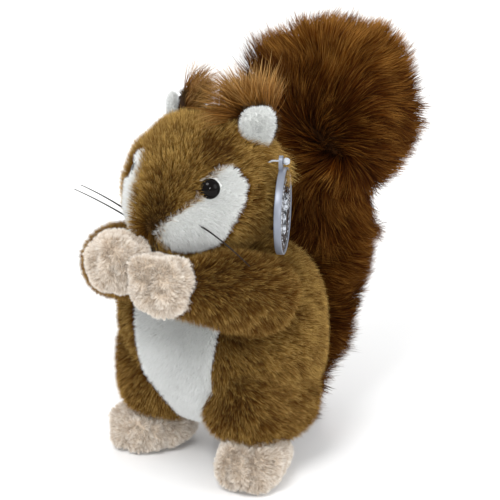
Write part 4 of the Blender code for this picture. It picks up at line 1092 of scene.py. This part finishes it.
# The sewn-in label: a short loop of orange woven ribbon, caught in the seam beside the root of the
# tail. It is bare, and ripples a little.
RIBBON_GAP, RIBBON_THICKNESS, RIBBON_ROWS = 0.0004, 0.0003, 8
label_low, label_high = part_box("sewn_label")
start = Vector((label_low.x, label_high.y, label_low.z))
end = Vector((label_high.x, label_low.y, label_low.z))
along, aside = (end - start).normalized(), Vector((0.7071, 0.7071, 0))
reach = (end - start).length - 0.0006
out_and_back = [start + along * reach * i / 8 + aside * RIBBON_GAP for i in range(9)]
out_and_back += [start + along * (reach + RIBBON_GAP * math.cos(angle))
                 + aside * RIBBON_GAP * math.sin(angle) for angle in (0.8, 0, -0.8)]
out_and_back += [start + along * reach * i / 8 - aside * RIBBON_GAP for i in range(8, -1, -1)]
ribbon = bmesh.new()
rows = []
for row in range(RIBBON_ROWS + 1):
    shift = Vector((0.0002 * math.sin(row * 1.3), 0,
                    (label_high.z - label_low.z) * row / RIBBON_ROWS))
    rows.append([ribbon.verts.new(point + shift) for point in out_and_back])
for one, two in zip(rows, rows[1:]):
    for i in range(len(out_and_back) - 1):
        ribbon.faces.new((one[i], one[i + 1], two[i + 1], two[i]))
bmesh.ops.solidify(ribbon, geom=ribbon.faces[:], thickness=RIBBON_THICKNESS)
bmesh.ops.recalc_face_normals(ribbon, faces=ribbon.faces)
in_order(ribbon)
orange = cloth_finish("orange_ribbon", (0.62, 0.16, 0.02), (0.78, 0.26, 0.05), roughness=0.6)
add_piece("label_ribbon", finished_mesh(ribbon, "label_ribbon"), orange,
          ["sewn_label"])

# The studio: a pale floor, a soft key light from the front, weaker ones beside and behind, a small
# one that glints in the eyes, and pale surroundings.
shape = bmesh.new()
bmesh.ops.create_grid(shape, x_segments=1, y_segments=1, size=6)
floor_mesh = finished_mesh(shape, "floor", smooth=False)
floor = bpy.data.objects.new("floor", floor_mesh)
bpy.context.scene.collection.objects.link(floor)
floor_finish = bpy.data.materials.new("studio_floor")
floor_finish.use_nodes = True
floor_shader = floor_finish.node_tree.nodes["Principled BSDF"]
floor_shader.inputs["Base Color"].default_value = (0.90, 0.90, 0.90, 1)
floor_shader.inputs["Roughness"].default_value = 0.9
floor_mesh.materials.append(floor_finish)

world = bpy.data.worlds.new("studio")
world.use_nodes = True
world.node_tree.nodes["Background"].inputs["Color"].default_value = (1, 1, 1, 1)
world.node_tree.nodes["Background"].inputs["Strength"].default_value = 0.88
bpy.context.scene.world = world


def soft_light(name, place, size, power):
    """A round light at `place`, turned to the middle of the squirrel."""
    light = bpy.data.lights.new(name, "AREA")
    light.shape, light.size, light.energy = "DISK", size, power
    lamp = bpy.data.objects.new(name, light)
    lamp.location = MIDDLE + Vector(place)
    lamp.rotation_euler = (Vector(place) - Vector((0, 0, 0.1))).to_track_quat("Z", "Y").to_euler()
    bpy.context.scene.collection.objects.link(lamp)


soft_light("key_light", (0.15, -1.0, 1.45), 0.7, 16)
soft_light("fill_light", (1.3, 0.1, 0.7), 0.9, 6)
soft_light("back_light", (-0.9, 1.2, 0.9), 0.9, 7)
soft_light("catch_light", (0.76, -0.90, 0.52), 0.10, 3)
bpy.context.scene.view_settings.view_transform = "Standard"
